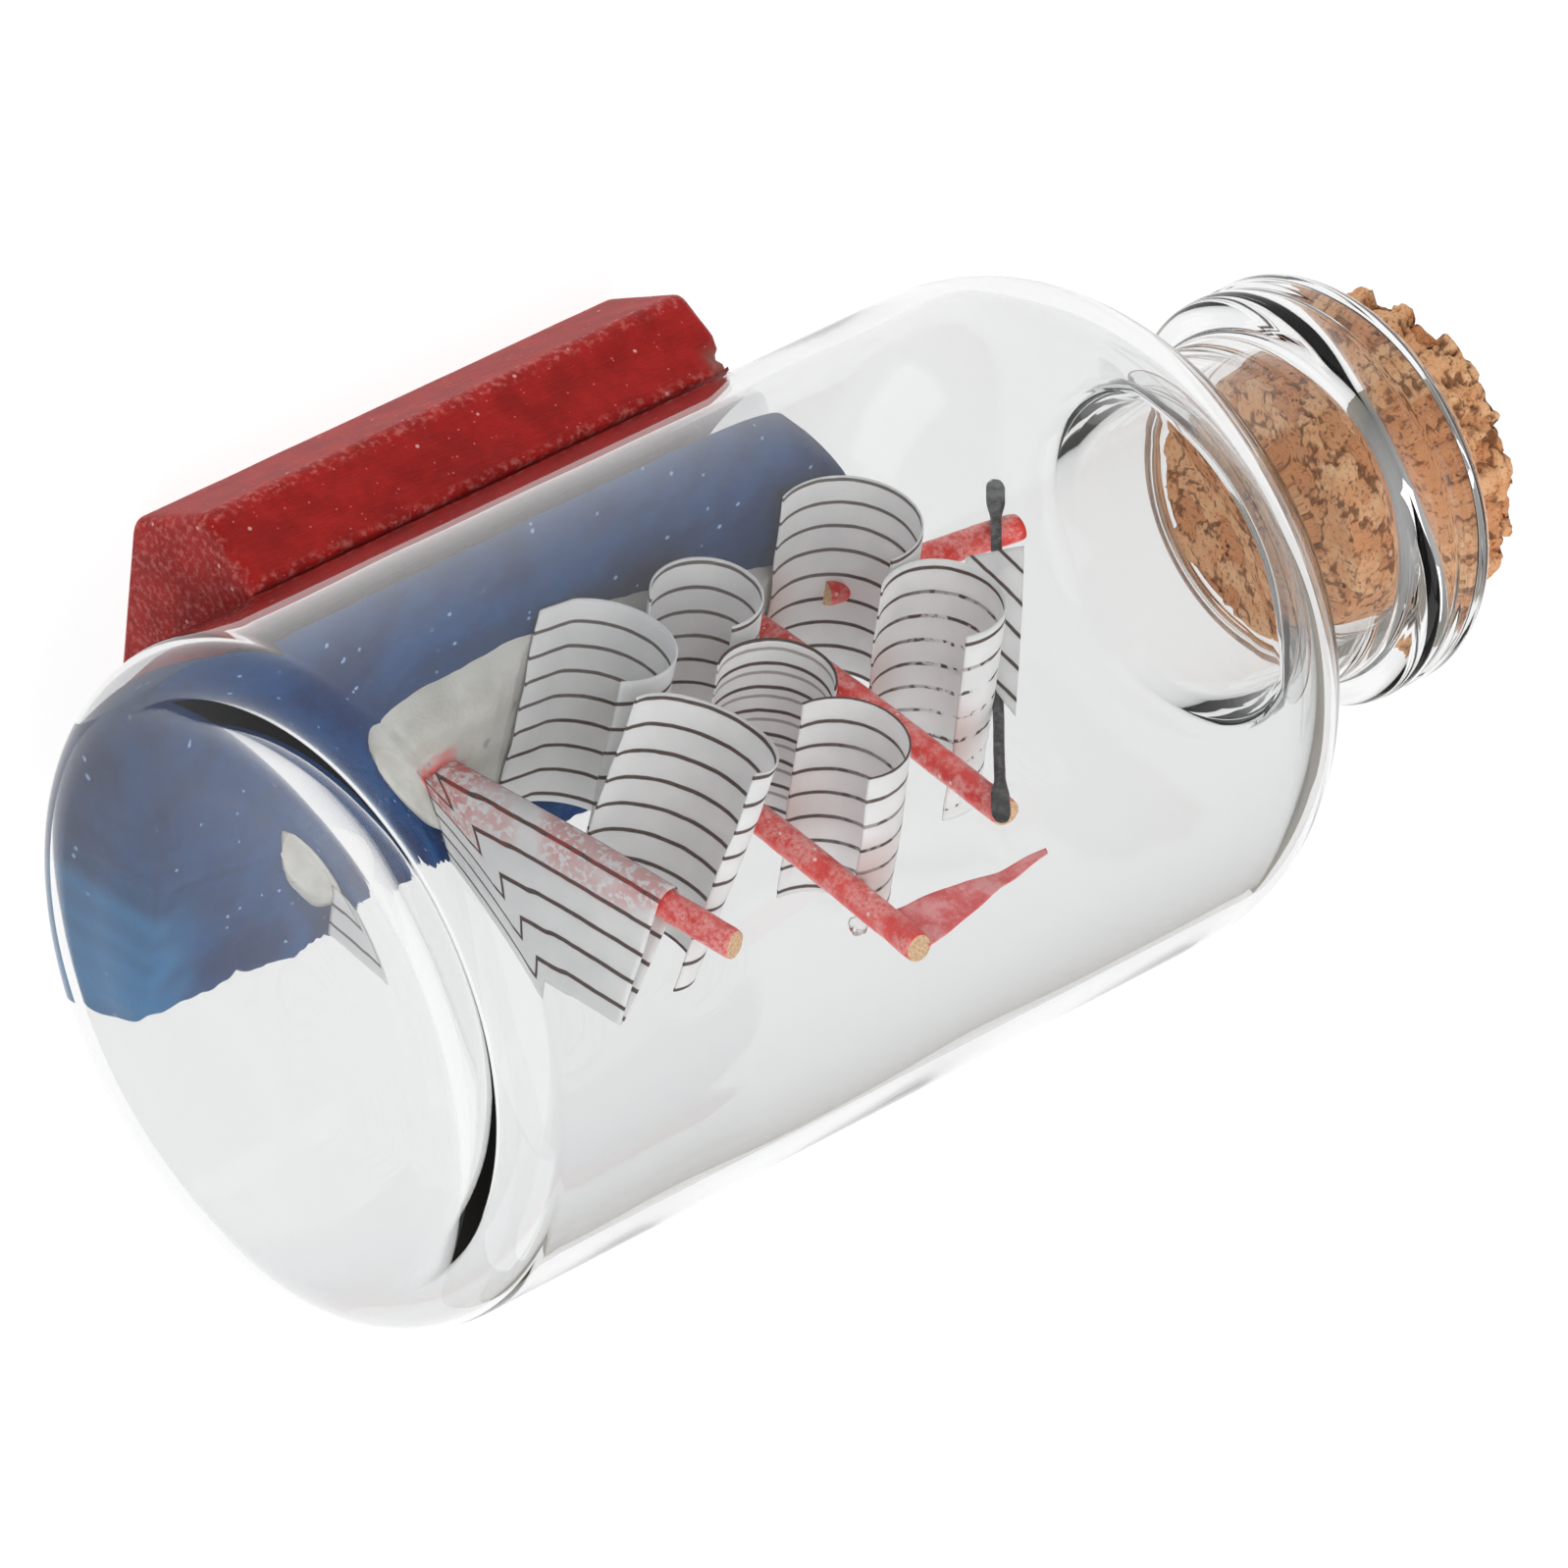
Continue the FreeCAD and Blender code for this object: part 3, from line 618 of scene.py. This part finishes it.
STAND_FOOT = 13.0
STAND_WAIST = 17.3
STAND_WAIST_LEVEL = 6.3
STAND_TOP = 14.9
STAND_RADIUS = RADIUS + 0.2
STAND_EASE = 0.55
END_EASE = 0.7


def stand_section():
    """The bar's outline across, (side, height), with its long edges eased."""
    axis = AXIS_Z / MM
    top = axis - math.sqrt(STAND_RADIUS ** 2 - STAND_TOP ** 2)
    corners = [Vector((-STAND_FOOT, 0)), Vector((STAND_FOOT, 0)),
               Vector((STAND_WAIST, STAND_WAIST_LEVEL)), Vector((STAND_TOP, top))]
    hollow = []
    reach = math.degrees(math.asin(STAND_TOP / STAND_RADIUS))
    for step in range(1, 40):
        angle = math.radians(lerp(reach, -reach, step / 40))
        hollow.append(Vector((STAND_RADIUS * math.sin(angle), axis - STAND_RADIUS * math.cos(angle))))
    loop = corners + hollow + [Vector((-STAND_TOP, top)), Vector((-STAND_WAIST, STAND_WAIST_LEVEL))]
    sharp = {0, 1, 2, 3, len(loop) - 2, len(loop) - 1}
    made, edge = [], []
    for index, here in enumerate(loop):
        before, after = loop[index - 1], loop[(index + 1) % len(loop)]
        if index not in sharp:
            made.append(here)
            edge.append(0.0)
            continue
        first = here + (before - here).normalized() * STAND_EASE
        last = here + (after - here).normalized() * STAND_EASE
        for step in range(5):
            share = step / 4
            made.append(first.lerp(here, share).lerp(here.lerp(last, share), share))
            edge.append(1.0)
        reach_on = (after - here).length
        if reach_on > 4:
            for step in range(1, 12):
                made.append(here.lerp(after, STAND_EASE / reach_on
                                      + (1 - 2 * STAND_EASE / reach_on) * step / 12))
                edge.append(0.0)
    return made, edge


def make_stand(material):
    """Painted bar with eased corners, a chip at one end and a slightly uneven face."""
    low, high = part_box("wood_stand")
    start = (low[0] - BASE_X) / MM
    end = (high[0] - BASE_X) / MM
    section, edge = stand_section()
    middle = Vector((0, 5.5))
    eased = []
    for step in range(5, -1, -1):
        angle = math.radians(18 * step)
        eased.append((start + END_EASE * (1 - math.sin(angle)), END_EASE * (1 - math.cos(angle))))
    rings = eased + [(lerp(start + END_EASE, end - END_EASE, k / 48), 0.0) for k in range(1, 48)]
    rings += [(start + end - station, inset) for station, inset in reversed(eased)]
    points, worn, chip = [], [], []
    count = len(section)
    for station, inset in rings:
        for index, spot in enumerate(section):
            away = (spot - middle)
            pull = spot - away.normalized() * inset
            axis_gap = Vector((pull.x, pull.y - AXIS_Z / MM)).length
            if axis_gap < STAND_RADIUS and pull.y > 4:
                pull = spot
            lump = 0.07 * wobble((station, pull.x, pull.y), 5, 2) + 0.03 * wobble(
                (station, pull.x, pull.y), 1.2, 4)
            hollow = spot.y > 4 and abs(axis_gap - STAND_RADIUS) < 0.3
            side = pull.x * (1 + (0 if hollow else lump / 15))
            height = pull.y if hollow or pull.y < 0.2 else pull.y + lump * 0.4
            gone = smoothstep(end - 2.6, end - 0.6, station) * smoothstep(13.2, 15.6, spot.x)
            gone *= smoothstep(9.5, 11.3, spot.y)
            gone *= 0.6 + 0.4 * wobble((station, spot.x, spot.y), 0.9, 8)
            points.append(at(station - 0.9 * gone, side - 0.5 * gone,
                             height - 0.7 * gone - AXIS_Z / MM))
            at_end = max(smoothstep(start + 0.8, start, station), smoothstep(end - 0.8, end, station))
            worn.append(min(1.0, edge[index] + at_end))
            chip.append(min(1.0, max(0.0, gone * 1.4)))
    faces = ring_faces(len(rings), count)
    faces.append(tuple(range(count - 1, -1, -1)))
    last = (len(rings) - 1) * count
    faces.append(tuple(range(last, last + count)))
    piece = make_piece("painted_cradle", points, faces, [material], replaces=["wood_stand"])
    give_numbers(piece, "edge", worn)
    give_numbers(piece, "chip", chip)
    outward(piece)
    return piece


# ------------------------------------------------------------------ sea and hull

SEA_LEVEL = -12.3
SEA_NEAR = 15.5
SEA_FAR = 11.5
SEA_ROUND_START = 46.0
SEA_END = 64.0
SEA_SHORE = 1.7
SEA_GAP = 0.06
UNDERCUT_LEVEL = -13.2
UNDERCUT_SLOPE = 0.86


def inner_radius(station):
    """Radius of the space inside the glass at a station, in the straight part and heel."""
    if station >= FLOOR + INNER_HEEL:
        return INNER
    back = FLOOR + INNER_HEEL - max(station, FLOOR)
    return INNER - INNER_HEEL + math.sqrt(max(0.0, INNER_HEEL ** 2 - back ** 2))


def make_sea(material):
    """Putty pressed into the bottom of the bottle, with a ragged far edge and painted shade beside the
    hull.
    """
    along, across = 190, 110
    start = FLOOR + FLOOR_DOME + 0.08
    top, bottom, smear, painted_hull_shade = [], [], [], []
    for i in range(along + 1):
        share = i / along
        station = lerp(start, SEA_END, share ** 0.9)
        back = smoothstep(3.0, 0.0, station - start)
        spread = math.sqrt(max(0.0, 1 - max(0.0, (station - SEA_ROUND_START)
                                             / (SEA_END - SEA_ROUND_START)) ** 2))
        limit = inner_radius(station) - SEA_GAP
        ragged = 1.3 * wobble((station, 0, 0), 4.2, 11) + 0.7 * wobble((station, 0, 0), 1.4, 13)
        near = min((SEA_NEAR + 0.3) * spread + 0.35 * wobble((station, 9, 0), 3, 7), limit * 0.93)
        far = min((SEA_FAR + ragged) * spread + 0.4, limit * 0.9)
        for j in range(across + 1):
            side = lerp(-far, near, j / across)
            floor_level = -math.sqrt(max(0.0, limit ** 2 - side ** 2))
            floor_level = max(floor_level, UNDERCUT_SLOPE * (side - SEA_NEAR) + UNDERCUT_LEVEL)
            shore = min(side + far, near - side, (SEA_END + 0.3 - station) * 0.9)
            rise = math.sqrt(max(0.0, 1 - (1 - min(1.0, shore / SEA_SHORE)) ** 2))
            spot = (station, side, 0)
            swell = 0.28 * wobble(spot, 6, 1) + 0.12 * wobble(spot, 1.8, 2) + 0.05 * wobble(spot, 0.6, 3)
            under_hull = smoothstep(0.9, 0.6, abs(side) / max(0.1, hull_half(station)))
            level = SEA_LEVEL + swell - 0.6 * under_hull
            level = lerp(floor_level, max(level, floor_level + 0.05), rise)
            dome = FLOOR_DOME * min(1.0, (Vector((side, level)).length / INNER) ** 2)
            top.append(at(station - back * dome, side, level))
            bottom.append(at(station - back * FLOOR_DOME * 0.95, side, min(floor_level, level - 0.01)))
            # painted shade on the putty, strongest against the hull's side and gone about 2.2 mm out
            # from it
            hull = hull_half(station)
            gap = abs(side) - hull if hull > 0 else 9
            painted_hull_shade.append(0.75 * smoothstep(2.2, 0.0, gap) * (0.6 + 0.4 * wobble(spot, 1.5, 5)))
            fresh = smoothstep(9.0, 4.5, station) * smoothstep(2.0, -6.0, side)
            smear.append(min(1.0, fresh * (0.7 + 0.5 * wobble(spot, 1.6, 6))))
    faces = slab_faces(along + 1, across + 1)
    piece = make_piece("putty_sea", top + bottom, faces, [material], replaces=["sea_putty"])
    give_numbers(piece, "smear", smear + smear)
    # the painted shade lies on the top face only
    give_numbers(piece, "painted_hull_shade", [max(0.0, dark) for dark in painted_hull_shade] + [0.0] * len(painted_hull_shade))
    outward(piece)
    return piece


HULL_STERN = 17.2
HULL_BEAM = 30.0
HULL_BOW = 61.5
HULL_HALF = 8.5
HULL_DECK = -10.8
HULL_DEPTH = 1.4


def hull_half(station):
    """Half width of the hull at the sea's surface."""
    if not HULL_STERN < station < HULL_BOW:
        return 0.0
    if station < HULL_BEAM:
        back = (HULL_BEAM - station) / (HULL_BEAM - HULL_STERN)
        return HULL_HALF * math.sqrt(1 - back ** 3.4)
    ahead = (station - HULL_BEAM) / (HULL_BOW - HULL_BEAM)
    return HULL_HALF * (1 - ahead ** 2.1)


def under_sails(station, side):
    """The highest the putty may be at a place, so that the sails' feet press into it."""
    limit = 99.0
    for mast, middle, mid_side, mid_level, curl, low, high, yaw, *rest in SQUARE_SAILS.values():
        if mid_level > -3 or abs(side - mid_side) > SAIL_WIDTH / 2 + 0.6:
            continue
        reach = abs(station - middle + (side - mid_side) * math.tan(math.radians(yaw)))
        if reach < curl + 1.6:
            dip = math.sqrt(curl ** 2 - min(reach, curl * 0.7) ** 2)
            rise = 1.6 * smoothstep(curl * 0.9, curl + 1.6, reach)
            limit = min(limit, mid_level - dip - 0.3 + rise)
    return max(limit, SEA_LEVEL - 0.5)


def make_hull(material):
    """Hand-shaped mound: flared sides up to a soft rim, and a shallow deck inside it."""
    along, across = 120, 64
    top, paint = [], []
    for i in range(along + 1):
        share = (1 - math.cos(math.pi * i / along)) / 2
        station = lerp(HULL_STERN + 0.02, HULL_BOW - 0.02, share)
        half = max(0.15, hull_half(station))
        tall = smoothstep(0, 0.12, share) * smoothstep(1.02, 0.9, share)
        for j in range(across + 1):
            u = -1 + 2 * j / across
            side = half * u
            rim = math.exp(-((abs(u) - 0.52) / 0.16) ** 2)
            flank = smoothstep(1.0, 0.55, abs(u))
            spot = (station, side, 0)
            lump = 0.22 * wobble(spot, 5, 21) + 0.08 * wobble(spot, 1.6, 22)
            foot = SEA_LEVEL - 1.0
            crest = HULL_DECK + 0.1 + 0.38 * rim + lump
            level = lerp(foot, crest, (flank ** 0.8) * (0.35 + 0.65 * tall))
            level = min(level, under_sails(station, side))
            top.append(at(station, side, level))
            near_mizzen = Vector((station - 25.0, side - 0.4)).length
            paint.append(smoothstep(2.2, 1.0, near_mizzen + 0.9 * wobble(spot, 1.0, 23)))
    below = [Vector((p.x, p.y, AXIS_Z + (SEA_LEVEL - HULL_DEPTH) * MM)) for p in top]
    faces = slab_faces(along + 1, across + 1)
    piece = make_piece("putty_hull", top + below, faces, [material], replaces=["ship_hull"])
    give_numbers(piece, "paint", paint + paint)
    outward(piece)
    return piece


# ------------------------------------------------------------------ spars

MAST_RADIUS = 1.0


def make_stick(name, low, high, side_paint, end_wood, seed):
    """A round painted stick with a knife-cut bare end and lumpy paint."""
    low, high = Vector(low), Vector(high)
    run = high - low
    rise = run.normalized()
    out = rise.orthogonal().normalized()
    across = rise.cross(out)
    around, rings = 40, int(run.length * 3)
    points = []
    for k in range(rings + 1):
        share = k / rings
        for step in range(around):
            angle = 2 * math.pi * step / around
            way = out * math.cos(angle) + across * math.sin(angle)
            spot = low + run * share + way
            radius = MAST_RADIUS * (0.99 + 0.035 * wobble(spot, 1.6, seed) + 0.02 * wobble(
                spot, 0.5, seed + 1))
            if k in (0, rings):
                radius -= 0.07
            slant = 0.16 * math.cos(angle + seed) if k >= rings - 1 else 0.0
            points.append(at(*(low + run * share + way * radius + rise * slant)))
    for inset in (0.86, 0.55):
        for step in range(around):
            angle = 2 * math.pi * step / around
            way = out * math.cos(angle) + across * math.sin(angle)
            dent = 0.03 * wobble(way * inset * 2, 0.5, seed + 2)
            slant = 0.16 * inset * math.cos(angle + seed)
            points.append(at(*(high + way * (MAST_RADIUS - 0.07) * inset + rise * (slant + dent))))
    points.append(at(*high))
    points.append(at(*low))
    top = len(points) - 2
    faces = ring_faces(rings + 3, around)
    painted = rings * around
    for step in range(around):
        after = (step + 1) % around
        faces.append((top - around + step, top - around + after, top))
        faces.append((after, step, top + 1))
    piece = make_piece(name + "_stick", points, faces, [side_paint, end_wood], replaces=[name])
    for index, face in enumerate(piece.data.polygons):
        face.material_index = 1 if index >= painted else 0
    outward(piece)
    return piece


FORE = ((52.5, 0.0, -12.5), (52.5, 0.0, 13.1))
MAIN = ((39.3, 0.0, -12.5), (38.6, 0.0, 19.5))
MIZZEN = ((25.1, 0.0, -12.5), (29.1, 0.0, 12.7))
BOWSPRIT = ((58.5, 0.0, -10.8), (73.9, 0.0, -8.36))


# ------------------------------------------------------------------ paper

PAPER = 0.13


def make_paper(name, grid, across, material, numbers=()):
    """A thin closed shell round a grid of points; across is each column's place in mm."""
    rows, columns = len(grid), len(grid[0])
    count = rows * columns
    sides = []
    for sign in (1, -1):
        for i in range(rows):
            for j in range(columns):
                down = grid[min(i + 1, rows - 1)][j] - grid[max(i - 1, 0)][j]
                over = grid[i][min(j + 1, columns - 1)] - grid[i][max(j - 1, 0)]
                out = down.cross(over).normalized()
                sides.append(at(*(grid[i][j] + out * (sign * PAPER / 2))))
    piece = make_piece(name, sides, slab_faces(rows, columns), [material],
                       replaces=[name.removesuffix("_paper")])
    layers = {"across": [across[i][j] for i in range(rows) for j in range(columns)]}
    # the first of these numbers is painted red bounce light from the masts; wear and paint are the
    # paper's own marks
    for key in ("painted_red_bounce", "wear", "paint"):
        layers[key] = [0.0] * count
    for key, values in dict(numbers).items():
        layers[key] = [values[i][j] for i in range(rows) for j in range(columns)]
    for key, values in layers.items():
        give_numbers(piece, key, values + values)
    outward(piece)
    return piece


def from_line(point, line):
    """Distance of a point from a mast's own line."""
    low, high = Vector(line[0]), Vector(line[1])
    run = (high - low).normalized()
    gap = point - low
    return (gap - run * gap.dot(run)).length


def clear_of(point, line):
    """The point, moved out to the surface of a stick if it lies inside."""
    low, high = Vector(line[0]), Vector(line[1])
    run = (high - low).normalized()
    gap = point - low
    off = gap - run * gap.dot(run)
    return point + off.normalized() * max(0.0, MAST_RADIUS + PAPER - off.length)


SAIL_WIDTH = 16.0

# sail: mast, station, side and level of the curl's middle, radius, low and high angle, yaw,
# where the first ruled line falls, strength of the painted red bounce light near the mast, and wear
SQUARE_SAILS = {
    "mizzen_course": (MAIN, 34.0, 1.0, -7.4, 4.8, -110, 120, -7.0, 0.35, 0.0, 0.0),
    "mizzen_topsail": (MIZZEN, 30.65, 1.8, 4.1, 5.0, -108, 92, -18.6, 0.9, 0.0, 0.0),
    "main_course": (MAIN, 43.4, 1.2, -6.9, 3.7, -150, 105, 0.0, 0.9, 1.0, 0.0),
    "main_topsail": (MAIN, 41.5, 1.0, 1.9, 3.8, -125, 58, 0.0, 0.6, 0.6, 0.0),
    "main_topgallant": (MAIN, 40.7, 1.0, 9.2, 4.1, -88, 113, 0.0, 0.5, 0.7, 0.4),
    "fore_course": (FORE, 55.9, 1.5, -6.8, 4.8, -114, 98, 0.0, 0.8, 1.0, 0.0),
    "fore_topsail": (FORE, 55.7, 1.0, 2.3, 4.1, -126, 110, 0.0, 1.2, 0.8, 1.0),
}


# how much narrower the upper end of a sail is cut, as a share of half its width
TRIMMED = {"main_topgallant": 0.75, "fore_topsail": 0.1}
TRIM_START = 0.35


def make_square_sail(name, material):
    """A strip of paper curled like a C, glued by its ends to the front of its mast."""
    mast, station, side, level, curl, low, high, yaw, shift, painted_red_bounce, wear = SQUARE_SAILS[name]
    trim = TRIMMED.get(name, 0.0)
    rows, columns = 56, 34
    turn = Matrix.Rotation(math.radians(yaw), 3, "Z")
    seed = station * 0.37
    grid, across, glow, worn = [], [], [], []
    for i in range(rows + 1):
        share = i / rows
        angle = math.radians(lerp(low, high, share))
        line, places, bounce_reds, rubs = [], [], [], []
        for j in range(columns + 1):
            cut = trim * smoothstep(TRIM_START, 1.0, share)
            v = lerp(-1 + cut, 1, j / columns)
            ease = curl * (1 + 0.035 * wobble((v * 2, share * 3, 0), 1.4, seed))
            end = abs(share - 0.5) * 2
            lift = 0.25 * end ** 3 * wobble((v * 2.2, 3 * round(share), 0), 1.0, seed + 4)
            spot = Vector(((ease + lift) * math.cos(angle), v * SAIL_WIDTH / 2,
                           (ease + lift) * math.sin(angle)))
            spot = turn @ spot + Vector((station, side, level))
            spot.z = max(spot.z, SEA_LEVEL + 0.35)
            for stick in (FORE, MAIN, MIZZEN):
                spot = clear_of(spot, stick)
            line.append(spot)
            places.append((v + 1) * SAIL_WIDTH / 2 + shift)
            gap = from_line(spot, mast)
            # painted red bounce light from the mast, strongest close to the mast and on one side of the
            # strip
            bounce_reds.append(painted_red_bounce * smoothstep(5.5, 1.2, gap) * smoothstep(-0.9, 0.2, 0.4 - v))
            rubs.append(wear * smoothstep(0.1, 0.45, share) * smoothstep(-0.9, -0.5, -v))
        grid.append(line)
        across.append(places)
        glow.append(bounce_reds)
        worn.append(rubs)
    piece = make_paper(name + "_paper", grid, across, material, {"painted_red_bounce": glow, "wear": worn})
    return piece


def make_spanker(material):
    """Paper folded round the mizzen mast, both layers running aft and to one side."""
    rows, columns = 50, 60
    low, high = Vector(MIZZEN[0]), Vector(MIZZEN[1])
    rise = (high - low).normalized()
    aft = Vector((-3.2, -6.7, 0)).normalized()
    aft = (aft - rise * aft.dot(rise)).normalized()
    out = rise.cross(aft)
    foot, tall, chord, wrap = 1.75, 18.3, 8.6, 1.2
    touch = math.acos(wrap / chord)
    flat = math.sqrt(chord ** 2 - wrap ** 2)
    bend = (math.pi - touch) * 2 * wrap
    whole = 2 * flat + bend
    grid, across, paint = [], [], []
    for i in range(rows + 1):
        share = i / rows
        line, places, stains = [], [], []
        for j in range(columns + 1):
            run = whole * j / columns
            if run < flat:
                start = aft * chord
                end = aft * (wrap * math.cos(touch)) + out * (wrap * math.sin(touch))
                spot = start.lerp(end, run / flat)
                spot = spot + out * 0.1 * (1 - run / flat)
            elif run < flat + bend:
                angle = touch + (run - flat) / wrap
                spot = aft * (wrap * math.cos(angle)) + out * (wrap * math.sin(angle))
            else:
                start = aft * (wrap * math.cos(touch)) - out * (wrap * math.sin(touch))
                back = (run - flat - bend) / flat
                spot = start.lerp(aft * chord, back) - out * 0.1 * back
            belly = 0.25 * wobble((share * 3, run / 4, 0), 1.2, 40) * smoothstep(1.5, 4, spot.length)
            spot = spot + out * belly
            place = low + rise * (foot + tall * share) + spot
            line.append(place)
            places.append(run + 0.55)
            near = smoothstep(2.3, 1.2, from_line(place, MIZZEN))
            stains.append(near * (0.55 + 0.45 * smoothstep(0.25, 0.0, share))
                          * smoothstep(0.2, 0.7, 0.5 + 0.6 * wobble((share * 6, run / 3, 0), 1.0, 44)))
        grid.append(line)
        across.append(places)
        paint.append(stains)
    piece = make_paper("spanker_paper", grid, across, material, {"paint": paint})
    return piece


def flat_paper(name, edge_a, edge_b, side, material, places, bulge, seed):
    """A sheet between two edges, each a list of (station, level), with a slight wave."""
    rows, columns = 40, 24

    def along(edge, share):
        reach = share * (len(edge) - 1)
        index = min(int(reach), len(edge) - 2)
        return Vector((*edge[index], 0)).lerp(Vector((*edge[index + 1], 0)), reach - index)

    grid, across = [], []
    for i in range(rows + 1):
        share = i / rows
        first, last = along(edge_a, share), along(edge_b, share)
        line, values = [], []
        for j in range(columns + 1):
            spot = first.lerp(last, j / columns)
            push = bulge * wobble((spot.x / 3, spot.y / 3, 0), 1.0, seed)
            line.append(Vector((spot.x, side + push, spot.y)))
            values.append(places(spot))
        grid.append(line)
        across.append(values)
    return make_paper(name + "_paper", grid, across, material)


def make_jib(material):
    """Narrow strip of ruled paper stuck along the forestay's near side."""
    lean = math.radians(9.5)

    def ruled(spot):
        return spot.x * math.cos(lean) + spot.y * math.sin(lean)

    return flat_paper("jib", [(66.9, -6.2), (62.4, -2.4), (60.6, 1.6), (58.8, 5.4)],
                      [(70.7, -4.8), (66.5, -0.5), (62.2, 3.8), (58.0, 7.9)],
                      1.98, material, ruled, 0.12, 31)


def make_pennant(material):
    """Long pointed flag, glued by its hoist to the main masthead."""
    tip = MAIN[1][0]
    top = MAIN[1][2]
    return flat_paper("pennant", [(tip + 0.7, top - 3.8), (tip + 5.0, top - 3.1),
                                  (tip + 9.3, top - 2.5), (tip + 13.5, top - 2.4)],
                      [(tip + 0.7, top + 0.2), (tip + 5.0, top - 0.55), (tip + 9.3, top - 1.4),
                       (tip + 13.3, top - 2.0)],
                      0.0, material, lambda spot: spot.x, 0.35, 37)


# ------------------------------------------------------------------ stay, bead and glue

STAY = ((74.9, 1.42, -11.9), (50.2, 1.42, 14.8))


def make_forestay(material):
    """Stiff stick with flattened, rounded paddle ends."""
    low, high = Vector(STAY[0]), Vector(STAY[1])
    run = high - low
    rise = run.normalized()
    thin = Vector((0, 1, 0))
    wide = rise.cross(thin)
    around, rings = 28, 150
    points = [at(*low)]
    for k in range(1, rings):
        share = k / rings
        reach = share * run.length
        tip = min(reach, run.length - reach)
        flat = smoothstep(4.6, 2.6, tip)
        round_end = math.sqrt(max(0.0, 1 - (1 - min(1.0, tip / 1.1)) ** 2))
        half = lerp(0.37, 0.62, flat) * round_end
        thick = lerp(0.37, 0.26, flat) * round_end
        drift = 0.05 * wobble((reach, 0, 0), 4, 51)
        for step in range(around):
            angle = 2 * math.pi * step / around
            rough = 1 + 0.05 * wobble((reach, 2 * math.cos(angle), 2 * math.sin(angle)), 0.8, 52)
            spot = low + run * share + (wide * (half * math.cos(angle) * rough + drift)
                                        + thin * (thick * math.sin(angle) * rough))
            points.append(at(*spot))
    points.append(at(*high))
    faces = closed_faces(rings - 1, around)
    piece = make_piece("forestay_stick", points, faces, [material], replaces=["forestay"])
    outward(piece)
    return piece


def make_blob(name, middle, radii, material, seed, rough, replaces=()):
    """A small lumpy drop."""
    around, rings = 28, 18
    middle = Vector(middle)
    points = [at(*(middle + Vector((0, 0, radii[2]))))]
    for k in range(1, rings):
        polar_angle = math.pi * k / rings
        for step in range(around):
            angle = 2 * math.pi * step / around
            way = Vector((math.sin(polar_angle) * math.cos(angle),
                          math.sin(polar_angle) * math.sin(angle), math.cos(polar_angle)))
            grow = 1 + rough * wobble(way * 2, 1.0, seed)
            points.append(at(*(middle + Vector([way[n] * radii[n] * grow for n in range(3)]))))
    points.append(at(*(middle - Vector((0, 0, radii[2])))))
    faces = closed_faces(rings - 1, around)
    piece = make_piece(name, points, faces, [material], replaces=replaces)
    outward(piece)
    return piece


# ------------------------------------------------------------------ light and floor

def add_light(name, place, aim, width, height, power):
    data = bpy.data.lights.new(name, "AREA")
    data.shape = "RECTANGLE"
    data.size = width
    data.size_y = height
    data.energy = power
    lamp = bpy.data.objects.new(name, data)
    lamp.location = place
    lamp.rotation_euler = (Vector(aim) - Vector(place)).to_track_quat("-Z", "Y").to_euler()
    bpy.context.scene.collection.objects.link(lamp)


def add_world():
    """Dim studio surroundings: dark and slightly warm at the horizon, soft grey overhead."""
    world = bpy.data.worlds.new("studio")
    world.use_nodes = True
    tree = world.node_tree
    back = tree.nodes["Background"]
    place = tree.nodes.new("ShaderNodeTexCoord").outputs["Generated"]
    split = tree.nodes.new("ShaderNodeSeparateXYZ")
    tree.links.new(place, split.inputs[0])
    ramp = tree.nodes.new("ShaderNodeValToRGB")
    low, high = ramp.color_ramp.elements
    low.position, low.color = 0.0, (0.44, 0.4, 0.34, 1)
    high.position, high.color = 0.85, (0.55, 0.55, 0.55, 1)
    middle = ramp.color_ramp.elements.new(0.3)
    middle.color = (0.34, 0.335, 0.325, 1)
    tree.links.new(split.outputs["Z"], ramp.inputs[0])
    tree.links.new(ramp.outputs[0], back.inputs["Color"])
    back.inputs["Strength"].default_value = 0.8
    bpy.context.scene.world = world


def add_floor():
    size = 3.0
    mesh = bpy.data.meshes.new("floor")
    mesh.from_pydata([(-size, -size, 0), (size, -size, 0), (size, size, 0), (-size, size, 0)],
                     [], [(0, 1, 2, 3)])
    mesh.materials.append(pale_floor())
    floor = bpy.data.objects.new("floor", mesh)
    bpy.context.scene.collection.objects.link(floor)


# ------------------------------------------------------------------ everything

add_camera()
add_world()
add_floor()
add_light("key", (-0.25, 0.15, 0.8), (0, 0, 0.03), 1.0, 1.0, 5.6)
add_light("fill", (-0.15, -0.6, 0.55), (0, 0, 0.03), 0.6, 0.6, 1.8)

make_bottle(clear_glass("clear_bottle_glass", 1.5, (0.86, 0.865, 0.865)))
make_cork(cork_material())
make_stand(wood_paint())
make_sea(putty_blue())
make_hull(putty_white())

red_paint = stick_paint()
bare_end = cut_wood()
for mast_name, line, mast_seed in (("foremast", FORE, 1.0), ("mainmast", MAIN, 2.0),
                                   ("mizzenmast", MIZZEN, 3.0), ("bowsprit", BOWSPRIT, 4.0)):
    make_stick(mast_name, line[0], line[1], red_paint, bare_end, mast_seed)

plain_ruled = ruled_paper("ruled_paper")
double_ruled = ruled_paper("double_ruled_paper", ghost=True)
for sail in SQUARE_SAILS:
    make_square_sail(sail, double_ruled if sail == "main_topsail" else plain_ruled)
make_spanker(plain_ruled)
make_jib(plain_ruled)
make_pennant(pennant_paper())
make_forestay(stay_black())

glue = clear_glass("clear_glue", 1.46, (0.97, 0.97, 0.96))
make_blob("glue_drop", (38.3, -1.5, 14.5), (0.62, 0.7, 0.62), glue, 61, 0.25,
          replaces=["glue_bead"])
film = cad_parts["stand_glue"]
film.data.materials.clear()
film.data.materials.append(glue)

bpy.context.scene.view_settings.view_transform = "Standard"
